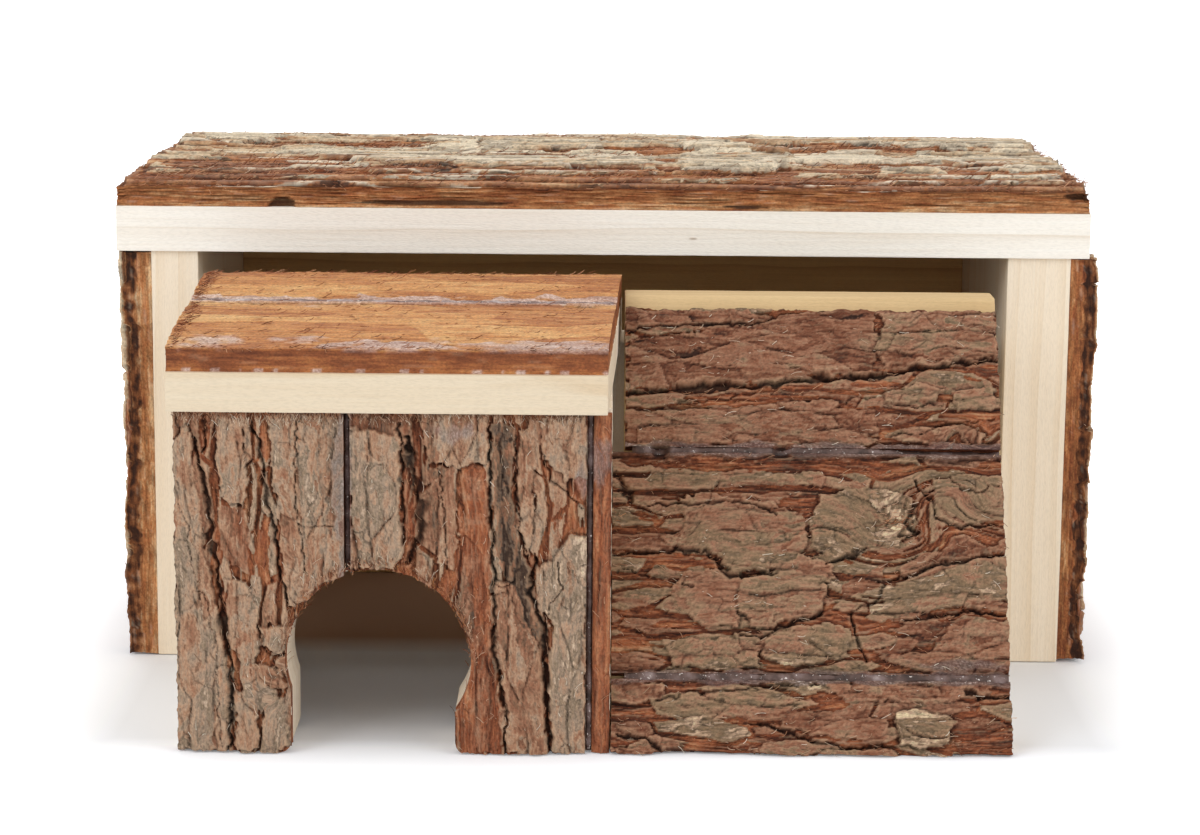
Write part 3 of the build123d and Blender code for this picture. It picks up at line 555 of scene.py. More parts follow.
# A closed mesh for one slab of bark: relief on top, sawn or broken edges and a flat back
def slabMesh(name, slab):
    slab = {**barkHabit, **slab}
    seed, step, long, wide = slab["seed"], slab["step"], slab["long"], slab["wide"]
    nu, nv = int(long / step) + 1, int(wide / (slab["stepAcross"] or step)) + 1
    tu, tv = np.meshgrid(np.linspace(0, 1, nu), np.linspace(0, 1, nv), indexing="ij")

    def broken(t, size, amount, k):
        place = t * size
        coarse = noise(place / 3.1, place * 0 + k, seed + 40)
        fine = noise(place / 0.9, place * 0 + k, seed + 41)
        return amount * np.clip(0.5 + 0.55 * coarse + 0.35 * fine, 0, 1.4)

    low, high, left, right = slab["ragged"]
    u0, u1 = broken(tv, wide, low, 1.5), long - broken(tv, wide, high, 2.5)
    u1 = u1 + slab["skew"] * tv * wide
    v0, v1 = broken(tu, long, left, 3.5), wide - broken(tu, long, right, 4.5)
    u, v = u0 + (u1 - u0) * tu, v0 + (v1 - v0) * tv
    if "foot" in slab:  # the slab leans, and its foot is sawn level
        first = barkRelief(u, v, slab)[0][:, :1]
        v = v + (1 - tv) ** 6 * (slab["foot"] - first) * slab["footRate"]
    relief = barkRelief(u, v, slab)
    h, skin = relief[0], relief[4]
    hairs = 0.3 + 1.6 * smooth(-0.1, 0.6, fractal(u / 14, v / 7, seed + 60, 2))
    hairs = slab["hairs"] * hairs + slab["fluffy"] * (1 - skin)
    hairs = hairs * smooth(0.6, 2.4, np.minimum(np.minimum(u, long - u), np.minimum(v, wide - v)))
    warm = 0.8 * (1 - skin)
    for middleU, middleV, reachU, reachV, thick in slab["fringes"]:
        near = np.exp(-(((u - middleU) / reachU) ** 2) - ((v - middleV) / reachV) ** 2)
        hairs, warm = hairs + thick * near, np.maximum(warm, near)

    count = nu * nv
    quads, triangles = quadsOf(np.arange(count).reshape(nu, nv)), np.zeros((0, 3), int)
    if "doorway" in slab:
        u, v, quads, triangles, away = cutDoorway(u, v, quads, slab)
        height = slab["doorway"]["height"]
        arch = np.exp(-((away / 1.6) ** 2)) * smooth(height - 6, height + 12, u)
        hairs, warm = (hairs + 5 * arch) * (away >= 0), np.maximum(warm, arch)

    surface = np.stack([u, v, h], -1).reshape(-1, 3)
    fields = np.stack([f.reshape(-1) for f in relief[1:]], -1)  # au av tone skin, painted shade, glue, and the pale places with their painted highlight
    points, allFields, groups, caps = [surface], [fields], [quads, triangles], []
    total = count
    for ring in edgeLoops(quads, triangles, count):
        for place, colours in sideRings(slab, surface[ring], fields[ring]):
            points.append(place)
            allFields.append(colours)
            nextRing = np.arange(total, total + len(ring))
            total += len(ring)
            groups.append(np.stack([np.roll(ring, -1), ring, nextRing, np.roll(nextRing, -1)], -1))
            ring = nextRing
        caps.append(ring[None, ::-1])
    points, fields = np.concatenate(points), np.concatenate(allFields)

    along, across, out = slab["along"], slab["across"], slab["out"]
    place = np.array(slab["origin"]) + points[:, :1] * along + points[:, 1:2] * across + points[:, 2:] * out
    if "foot" in slab:
        rise = np.maximum(0, -place[:, 2]) / across[2]
        place = place + rise[:, None] * across
    flip = np.dot(np.cross(along, across), out) < 0
    bed = place[:count].reshape(nu, nv, 3)[::2, ::2]
    beds[slab["body"]].append((bed, hairs[::2, ::2], warm[::2, ::2], along, flip))
    used = np.zeros(total, bool)
    for group in groups:
        used[group.reshape(-1)] = True
    number = np.cumsum(used) - 1
    mesh = meshOf(name, place[used], [number[g[:, ::-1] if flip else g] for g in groups + caps])
    sawn = (np.arange(total) >= count)[used]
    fields, depth = fields[used], points[used, 2]
    grain = np.stack([fields[:, 0] + 40 * seed, fields[:, 1] + 13 * seed, depth], -1)
    storeField(mesh, "grain", "FLOAT_VECTOR", grain)
    # skin holds tone, outer bark and painted shade; edge holds sawn, glue and the pale places with their
    # painted highlight
    storeField(mesh, "skin", "FLOAT_VECTOR", fields[:, 2:5])
    storeField(mesh, "edge", "FLOAT_VECTOR", np.stack([sawn, fields[:, 5], fields[:, 6]], -1))
    mesh.set_sharp_from_angle(angle=radians(42))
    return mesh


def addPiece(name, mesh, body, material, nodes):
    piece = bpy.data.objects.new(name, mesh)
    bpy.context.scene.collection.objects.link(piece)
    mesh.materials.clear()
    mesh.materials.append(material)
    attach(piece, body)
    if nodes:
        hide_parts(*nodes)
    return piece


# Pine bark, dried: matt grey and tan plates over a red fibrous under-bark, with painted shade in the furrows
# and hollows and a painted highlight on the highest places
def barkFinish(name, look):
    material, tree = newMaterial(name)
    grain, colours, edges = (addNode(tree, "ShaderNodeAttribute", attribute_name=label).outputs["Vector"]
                             for label in ("grain", "skin", "edge"))
    tone, skin, paintedShade = addNode(tree, "ShaderNodeSeparateXYZ", {0: colours}).outputs
    cut, glue, paleAndHighlight = addNode(tree, "ShaderNodeSeparateXYZ", {0: edges}).outputs
    noises = []
    # In mm along and across the grain: fibres, streaks, blotches and specks
    for along, across, detail in ((9, 0.55, 3), (26, 2.4, 4), (7, 5, 5), (0.8, 0.5, 2)):
        place = addNode(tree, "ShaderNodeMapping", {
            "Vector": grain, "Scale": (1 / along, 1 / across, 1 / across)})
        noises.append(addNode(tree, "ShaderNodeTexNoise", {
            "Vector": place, "Scale": 1.0, "Detail": detail, "Roughness": 0.6}))
    fibres, streaks, blotches, specks = noises
    mottle, depth = tone, 0.28 - 1.2 * look["grain"]
    for source, weight in ((blotches, 0.75), (streaks, 0.5), (fibres, 0.3)):
        mottle = addNode(tree, "ShaderNodeMath", {0: source, 1: weight, 2: mottle}, operation="MULTIPLY_ADD")
    mottle = addNode(tree, "ShaderNodeMath", {0: mottle, 1: 0.775}, operation="SUBTRACT")
    tint = addNode(tree, "ShaderNodeMath", {0: tone, 1: 0.5}, operation="SUBTRACT")
    for source, weight in ((fibres, 1.1 * look["grain"]), (streaks, 1.3 * look["grain"]),
                           (tint, look["tint"]), (blotches, 0.4), (cut, look["cut"])):
        depth = addNode(tree, "ShaderNodeMath", {0: source, 1: weight, 2: depth}, operation="MULTIPLY_ADD")
    plates = addNode(tree, "ShaderNodeValToRGB", {0: mottle}, stops=look["plates"])
    under = addNode(tree, "ShaderNodeValToRGB", {0: depth}, stops=look["under"])
    worn = addNode(tree, "ShaderNodeMath", {0: blotches, 1: 0.9, 2: skin}, operation="MULTIPLY_ADD")
    worn = addNode(tree, "ShaderNodeMapRange", {0: worn, 1: 0.72, 2: 1.0})
    colour = addNode(tree, "ShaderNodeMix", {0: worn, 6: under, 7: plates}, data_type="RGBA")
    speckle = addNode(tree, "ShaderNodeValToRGB", {0: specks}, stops=[(0.3, 0.62), (0.5, 1.0), (0.7, 1.3)])
    colour = addNode(tree, "ShaderNodeMix", {0: 0.8, 6: colour, 7: speckle},
                     data_type="RGBA", blend_type="MULTIPLY")
    film = addNode(tree, "ShaderNodeMath", {0: blotches, 1: 0.9, 2: look["film"]}, operation="MULTIPLY_ADD")
    smear = addNode(tree, "ShaderNodeMath", {0: streaks, 1: specks}, operation="ADD")
    smear = addNode(tree, "ShaderNodeMath", {0: smear, 1: 0.5}, operation="MULTIPLY")
    smear = addNode(tree, "ShaderNodeValToRGB", {0: smear}, stops=look["glue"])
    # Cream for the pale places, partly a painted highlight; near black for the painted shade; then the glue
    for field, share, paint in ((paleAndHighlight, look["pale"], linear(look["cream"])),
                                (paintedShade, 0.88, linear("#1d100a")), (glue, film, smear)):
        factor = addNode(tree, "ShaderNodeMath", {0: field, 1: share}, operation="MULTIPLY", use_clamp=True)
        colour = addNode(tree, "ShaderNodeMix", {0: factor, 6: colour, 7: paint}, data_type="RGBA")
    matt = addNode(tree, "ShaderNodeMapRange", {0: glue, 3: look["matt"], 4: 0.25})
    height = addNode(tree, "ShaderNodeMath", {0: fibres, 1: specks}, operation="ADD")
    bump = addNode(tree, "ShaderNodeBump", {"Height": height, "Strength": 0.8, "Distance": look["bump"] * mm})
    shader = addNode(tree, "ShaderNodeBsdfPrincipled", {
        "Base Color": colour, "Roughness": matt, "Normal": bump, "Specular IOR Level": 0.3, "IOR": 1.45})
    addNode(tree, "ShaderNodeOutputMaterial", {0: shader})
    return material


# Sawn pine, bare: pale, matt and slightly furry, with faint growth rings and short flecks
def pineFinish(name, look):
    material, tree = newMaterial(name)
    grain = addNode(tree, "ShaderNodeAttribute", attribute_name="grain").outputs["Vector"]
    noises = []
    # In mm along and across the grain: the rings' waver, fine lines, patches and the saw's fuzz
    for along, across, detail in ((120, 18, 2), (45, 0.8, 3), (60, 9, 3), (1.6, 0.35, 2)):
        place = addNode(tree, "ShaderNodeMapping", {
            "Vector": grain, "Scale": (1 / along, 1 / across, 1 / across)})
        noises.append(addNode(tree, "ShaderNodeTexNoise", {"Vector": place, "Scale": 1.0, "Detail": detail}))
    wander, lines, patches, fuzz = noises
    straight = addNode(tree, "ShaderNodeMapping", {"Vector": grain, "Scale": (0.02, 1, 1)})
    bend = addNode(tree, "ShaderNodeVectorMath", {
        0: wander.outputs[1], 1: (0, 5.0, 5.0), 2: straight}, operation="MULTIPLY_ADD")
    rings = addNode(tree, "ShaderNodeTexWave", {
        "Vector": bend, "Scale": 0.314 / look["ringPitch"], "Distortion": 0.6, "Detail": 2.0,
        "Detail Scale": 0.08}, wave_type="RINGS", rings_direction="X", wave_profile="SAW")
    ringLine = addNode(tree, "ShaderNodeValToRGB", {0: rings.outputs[1]},
                       stops=[(0.0, 0.05), (0.5, 0.12), (0.88, 0.5), (0.97, 0.85), (1.0, 0.1)])
    late = addNode(tree, "ShaderNodeMath", {0: ringLine, 1: patches}, operation="MULTIPLY")
    late = addNode(tree, "ShaderNodeMath", {0: lines, 1: 0.5, 2: late}, operation="MULTIPLY_ADD")
    late = addNode(tree, "ShaderNodeMath", {0: late, 1: 0.14}, operation="SUBTRACT", use_clamp=True)
    late = addNode(tree, "ShaderNodeMath", {0: late, 1: look["rings"]}, operation="MULTIPLY")
    colour = addNode(tree, "ShaderNodeMix", {
        0: late, 6: linear(look["early"]), 7: linear(look["late"])}, data_type="RGBA")
    fleckPlace = addNode(tree, "ShaderNodeMapping", {"Vector": grain, "Scale": (1 / 13, 1 / 4, 1 / 4)})
    fleck = addNode(tree, "ShaderNodeTexVoronoi", {"Vector": fleckPlace, "Scale": 1.0})
    size = addNode(tree, "ShaderNodeMapRange", {
        0: fleck.outputs["Distance"], 1: 0.15, 2: 0.07, 3: 0.0, 4: 0.8})
    some = addNode(tree, "ShaderNodeSeparateXYZ", {0: fleck.outputs["Color"]})
    some = addNode(tree, "ShaderNodeMath", {0: some, 1: 0.985}, operation="GREATER_THAN")
    fleck = addNode(tree, "ShaderNodeMath", {0: size, 1: some}, operation="MULTIPLY")
    colour = addNode(tree, "ShaderNodeMix", {0: fleck, 6: colour, 7: linear(look["fleck"])}, data_type="RGBA")
    fuzzTone = addNode(tree, "ShaderNodeValToRGB", {0: fuzz}, stops=[(0.3, 0.88), (0.55, 1.0), (0.8, 1.03)])
    colour = addNode(tree, "ShaderNodeMix", {0: 0.6, 6: colour, 7: fuzzTone},
                     data_type="RGBA", blend_type="MULTIPLY")
    height = addNode(tree, "ShaderNodeMath", {0: fuzz, 1: lines}, operation="ADD")
    bump = addNode(tree, "ShaderNodeBump", {"Height": height, "Strength": 0.5, "Distance": 0.2 * mm})
    shader = addNode(tree, "ShaderNodeBsdfPrincipled", {
        "Base Color": colour, "Normal": bump, "Roughness": 0.75, "Specular IOR Level": 0.3, "IOR": 1.5})
    addNode(tree, "ShaderNodeOutputMaterial", {0: shader})
    return material


# Hot-melt glue, cooled on bark: a greyish purple film, glossy and a little cloudy
def glueFinish(name, look):
    material, tree = newMaterial(name)
    place = addNode(tree, "ShaderNodeTexCoord").outputs["Object"]
    cloud, ripple = (addNode(tree, "ShaderNodeTexNoise", {
        "Vector": place, "Scale": 1 / (size * mm), "Detail": 4.0}) for size in (5, 0.8))
    colour = addNode(tree, "ShaderNodeValToRGB", {0: cloud}, stops=look["cloud"])
    # Pale flecks in the glue's colour: painted glints
    paintedGlints = addNode(tree, "ShaderNodeMapRange", {
        0: ripple, 1: look["glintLevel"], 2: look["glintLevel"] + 0.06, 3: 0.0, 4: 0.85})
    colour = addNode(tree, "ShaderNodeMix", {0: paintedGlints, 6: colour, 7: linear("#e4dad2")}, data_type="RGBA")
    bump = addNode(tree, "ShaderNodeBump", {"Height": ripple, "Strength": 0.6, "Distance": 0.4 * mm})
    shader = addNode(tree, "ShaderNodeBsdfPrincipled", {
        "Base Color": colour, "Normal": bump, "Roughness": 0.42, "Specular IOR Level": 0.4, "IOR": 1.48})
    addNode(tree, "ShaderNodeOutputMaterial", {0: shader})
    return material


# Flat steel wire, bright and lightly scratched
def steelFinish(name):
    material, tree = newMaterial(name)
    place = addNode(tree, "ShaderNodeTexCoord").outputs["Object"]
    scratch = addNode(tree, "ShaderNodeTexNoise", {"Vector": place, "Scale": 1 / (0.4 * mm), "Detail": 3.0})
    colour = addNode(tree, "ShaderNodeValToRGB", {0: scratch}, stops=[(0.3, "#8a8783"), (0.7, "#c2bfb9")])
    rough = addNode(tree, "ShaderNodeMapRange", {0: scratch, 3: 0.3, 4: 0.5})
    shader = addNode(tree, "ShaderNodeBsdfPrincipled", {
        "Base Color": colour, "Roughness": rough, "Metallic": 1.0})
    addNode(tree, "ShaderNodeOutputMaterial", {0: shader})
    return material


print("finishes")
# Colours from low to high: the reddish under-bark of each kind, and dark glue
underBark = [(0.05, "#2c150b"), (0.26, "#5a2d1a"), (0.46, "#814428"), (0.64, "#9d5b38"), (0.8, "#ac7751"),
             (0.95, "#bd9472")]
redUnder = [(0.05, "#33190e"), (0.24, "#66351f"), (0.42, "#8e4f32"), (0.58, "#a46440"), (0.76, "#b37d58"),
            (0.95, "#c29a78")]
fibrousUnder = [(0.04, "#32160a"), (0.2, "#64311b"), (0.38, "#8c4f2f"), (0.56, "#a5673d"),
                (0.74, "#bb8152"), (0.95, "#d8b084")]
innerUnder = [(0.04, "#6b371d"), (0.22, "#8e502c"), (0.38, "#ab6a3b"), (0.54, "#c98c54"),
              (0.7, "#d9a66c"), (0.92, "#e6bd86")]
darkGlue = [(0.36, "#30221f"), (0.47, "#4c3a37"), (0.55, "#67554f"), (0.62, "#8b7a73"), (0.7, "#d2c7bf")]
barkLooks = {
    "weatheredPineBark": {
        "cream": "#cfa885", "matt": 0.85, "pale": 0.3, "tint": 0.4, "cut": -0.1, "grain": 0.75,
        "bump": 0.2, "film": 0.05, "under": redUnder,
        "glue": [(0.36, "#564843"), (0.47, "#6f635e"), (0.55, "#857a76"), (0.64, "#a3999a"),
                 (0.72, "#dacecb")],
        "plates": [(0.02, "#3f2d22"), (0.1, "#5c4c40"), (0.2, "#74543f"), (0.32, "#8d5f47"),
                   (0.46, "#a47d62"), (0.58, "#ad8f76"), (0.68, "#9a8571"), (0.78, "#82705b"),
                   (0.88, "#bea48d"), (1.0, "#dccaa8")]},
    "redPineBark": {
        "cream": "#cfa885", "matt": 0.82, "pale": 0.3, "tint": 0.4, "cut": -0.1, "grain": 1.0,
        "bump": 0.3, "film": 0.3, "under": underBark, "glue": darkGlue,
        "plates": [(0.02, "#3b2217"), (0.16, "#643724"), (0.32, "#81513a"), (0.46, "#956951"),
                   (0.58, "#927258"), (0.68, "#80684e"), (0.78, "#6e5b46"), (0.88, "#b8997f"),
                   (1.0, "#d9c8a0")]},
    "fibrousPineBark": {
        "cream": "#eadac2", "matt": 0.85, "pale": 0.72, "tint": 0.45, "cut": 0.15, "grain": 0.72,
        "bump": 0.3, "film": 0.3, "under": fibrousUnder, "glue": darkGlue,
        "plates": [(0.02, "#3c2114"), (0.2, "#7d4a2a"), (0.34, "#a5714a"), (0.48, "#bb956f"),
                   (0.6, "#ccae8c"), (0.7, "#dbc4a3"), (0.8, "#a3947f"), (0.9, "#bcae99"),
                   (1.0, "#e4d4b9")]},
    "strippedInnerBark": {
        "cream": "#cfa885", "matt": 0.6, "pale": 0.15, "tint": 0.5, "cut": -0.28, "grain": 0.32,
        "bump": 0.2, "film": 0.3, "under": innerUnder,
        "glue": [(0.36, "#8b6a5c"), (0.47, "#ad8f82"), (0.55, "#c9afa4"), (0.64, "#dfcdc4"),
                 (0.72, "#f6ece6")],
        "plates": [(0.05, "#7d4522"), (0.95, "#d2b6a4")]},
}
porchBark, rampBark, roofBark, innerBark = (barkFinish(name, look) for name, look in barkLooks.items())
pineLooks = {
    "sawnPine": {"early": "#faf6ed", "late": "#d9c6ad", "fleck": "#8a6540", "ringPitch": 7.5, "rings": 0.9},
    "creamPine": {"early": "#f1e3ce", "late": "#d6b88e", "fleck": "#8a6540", "ringPitch": 6.0, "rings": 0.8},
    # A darker, warmer pine for the back wall inside the house: painted shade of the dim interior
    "shadedBackPine": {"early": "#cfa66f", "late": "#9a6c3c", "fleck": "#4d3018", "ringPitch": 4.0, "rings": 1.0},
    "rampPine": {"early": "#dcbf90", "late": "#b38c58", "fleck": "#4d3018", "ringPitch": 4.0, "rings": 0.8},
    "porchPine": {"early": "#e4d4ba", "late": "#cdad82", "fleck": "#8a6540", "ringPitch": 6.0, "rings": 0.8},
}
sawnPine, creamPine, shadedBackPine, rampPine, porchPine = (
    pineFinish(name, look) for name, look in pineLooks.items())
glueLooks = {
    "hotMeltGlue": {"glintLevel": 0.64, "cloud": [
        (0.32, "#2f201b"), (0.44, "#49352e"), (0.54, "#604a43"), (0.64, "#7a6662"), (0.78, "#a39490")]},
    "milkyHotMelt": {"glintLevel": 0.6, "cloud": [
        (0.3, "#5a3f36"), (0.43, "#775d55"), (0.54, "#927b76"), (0.66, "#b9a7a2"), (0.8, "#e6dad2")]},
}
hotGlue, milkyGlue = (glueFinish(name, look) for name, look in glueLooks.items())
brightSteel = steelFinish("brightSteelWire")
for name in ("roof_brads", "wall_brads", "porch_brads", "ramp_brads"):
    for slot in frame["nodes"][name].material_slots:
        slot.material = brightSteel

print("bark")
slope, lean = radians(5.8), radians(29.5)  # of the porch roof, and of the ramp from upright
skew = tan(radians(2.6))  # the porch roof's right end runs out this much
upSlope, roofNormal = np.array([0, cos(slope), sin(slope)]), np.array([0, -sin(slope), cos(slope)])
upRamp, rampNormal = np.array([0, sin(lean), cos(lean)]), np.array([0, -cos(lean), sin(lean)])
porchX, boardY = nodeBox("porch_front_left_board")[0][:2]
seamX, edgeX = nodeBox("porch_front_right_board")[0][0], nodeBox("porch_front_edge_board")[0][0]
rampX, rampY = nodeBox("ramp_lower_board")[0][0], -123.75  # the ramp's face meets the floor at rampY
porchFront, eaves = -124.25, 97.69  # lower front edge of the porch roof
roofThick, roofSeam, roofRun = 11.0, 56.0, 93.0  # the porch roof's board, its seam and its far edge
rampThick, lowerSeam, upperSeam = 7.0, 24.6, 92.6  # the ramp's bark and its seams, up the slope
halfSeam = 0.8
roofLong, rampLong, upperShort = 121.7, 114.0, 3.6  # the ramp's upper slab starts this much further right
rampBase = np.array([rampX, rampY, 0]) - rampThick * rampNormal
roofBase = np.array([porchX - 1, porchFront, eaves]) + roofThick * roofNormal
door = {"x": -63.75, "height": 27.0, "radius": 26.0, "slotX": -65.25, "slotWidth": 46.0, "toe": 3.5}


# A slab that fills its CAD node's box: u runs along it, v across it and n out of the bark. Short is
# how much of the box's length is left free at the far end, where bark breaks off before the board
def fitted(node, along, across, out, short=0.0):
    low, high = nodeBox(node)
    size = np.round(high - low, 1)
    long, wide, crest = (float(np.abs(axis) @ size) for axis in (along, across, out))
    return {
        "node": node, "along": along, "across": across, "out": out, "wide": wide, "crest": crest,
        "long": long - short, "origin": np.round(np.where(along + across + out > 0, low, high), 2)}


onPorch = {
    "body": "porch_half", "finish": porchBark, "rough": 0.65, "flake": 0.24, "fibre": 0.75, "step": 0.38,
    "plateLong": 24.0, "plateWide": 6.0, "cover": 0.9, "lift": 0.0, "fissure": 0.5, "long": 97.6}
onRamp = {
    "along": xAxis, "across": upRamp, "out": rampNormal, "body": "porch_half", "finish": rampBark,
    "step": 0.42, "crest": rampThick, "cover": 0.85, "plateLong": 24.0, "plateWide": 6.0,
    "lift": -0.05, "fissure": 0.5}
onPorchRoof = {
    "along": xAxis, "across": upSlope, "out": roofNormal, "body": "porch_half", "finish": innerBark,
    "step": 0.5, "crest": 8.5, "edge": 0.84, "skew": skew, "cover": 0.0, "fissure": 0.2, "stretch": 3.0,
    "swell": 0.25, "sunk": 0.35, "flake": 0.12, "channel": 0.2, "rough": 0.4, "fibre": 0.5,
    "hairs": 0.02, "fluffy": 0.04, "ragged": (0.5, 0.2, 0.1, 0.2)}
onRoof = {
    "body": "house", "finish": roofBark, "step": 0.8, "stepAcross": 0.36, "rows": 18, "layered": 0.7,
    "shingles": (4.6, 1.5, 85.0), "splits": 0.8, "plateLong": 85.0, "plateWide": 9.0, "peel": -0.12,
    "gap": 0.7, "sunk": 0.8, "lift": 0.15, "uneven": 0.55, "swell": 0.3, "stretch": 3.0, "flake": 0.3,
    "channel": 1.1, "fissure": 0.9, "rough": 0.9, "highs": 0.25, "fluffy": 0.28, "hairs": 0.03,
    "fringes": [(150.0, 4.0, 200.0, 5.0, 0.25), (124.0, 38.0, 26.0, 3.5, 2.5),
                (60.0, 20.0, 30.0, 5.0, 0.8), (235.0, 22.0, 25.0, 3.0, 1.5)]}
onWall = {
    "body": "house", "finish": roofBark, "step": 0.75, "highs": 0.25, "edge": 0.96, "sunk": 1.0,
    "swell": 0.5, "layered": 0.5, "crust": 0.42}
onFrontEnd = {"step": 0.7, "rows": 12}  # finer where the sawn end is seen
onBack = {"body": "house", "finish": rampBark, "step": 0.75}
roofEnds = [("left", 8.0, 9.0), ("left", 3.0, 5.6), ("right", 6.0, 9.2), ("right", 2.5, 5.6)]
roofFront = [("front", 15.0, 10.8), ("front", 8.0, 9.4), ("front", 3.5, 7.8), ("front", 1.2, 6.2)]
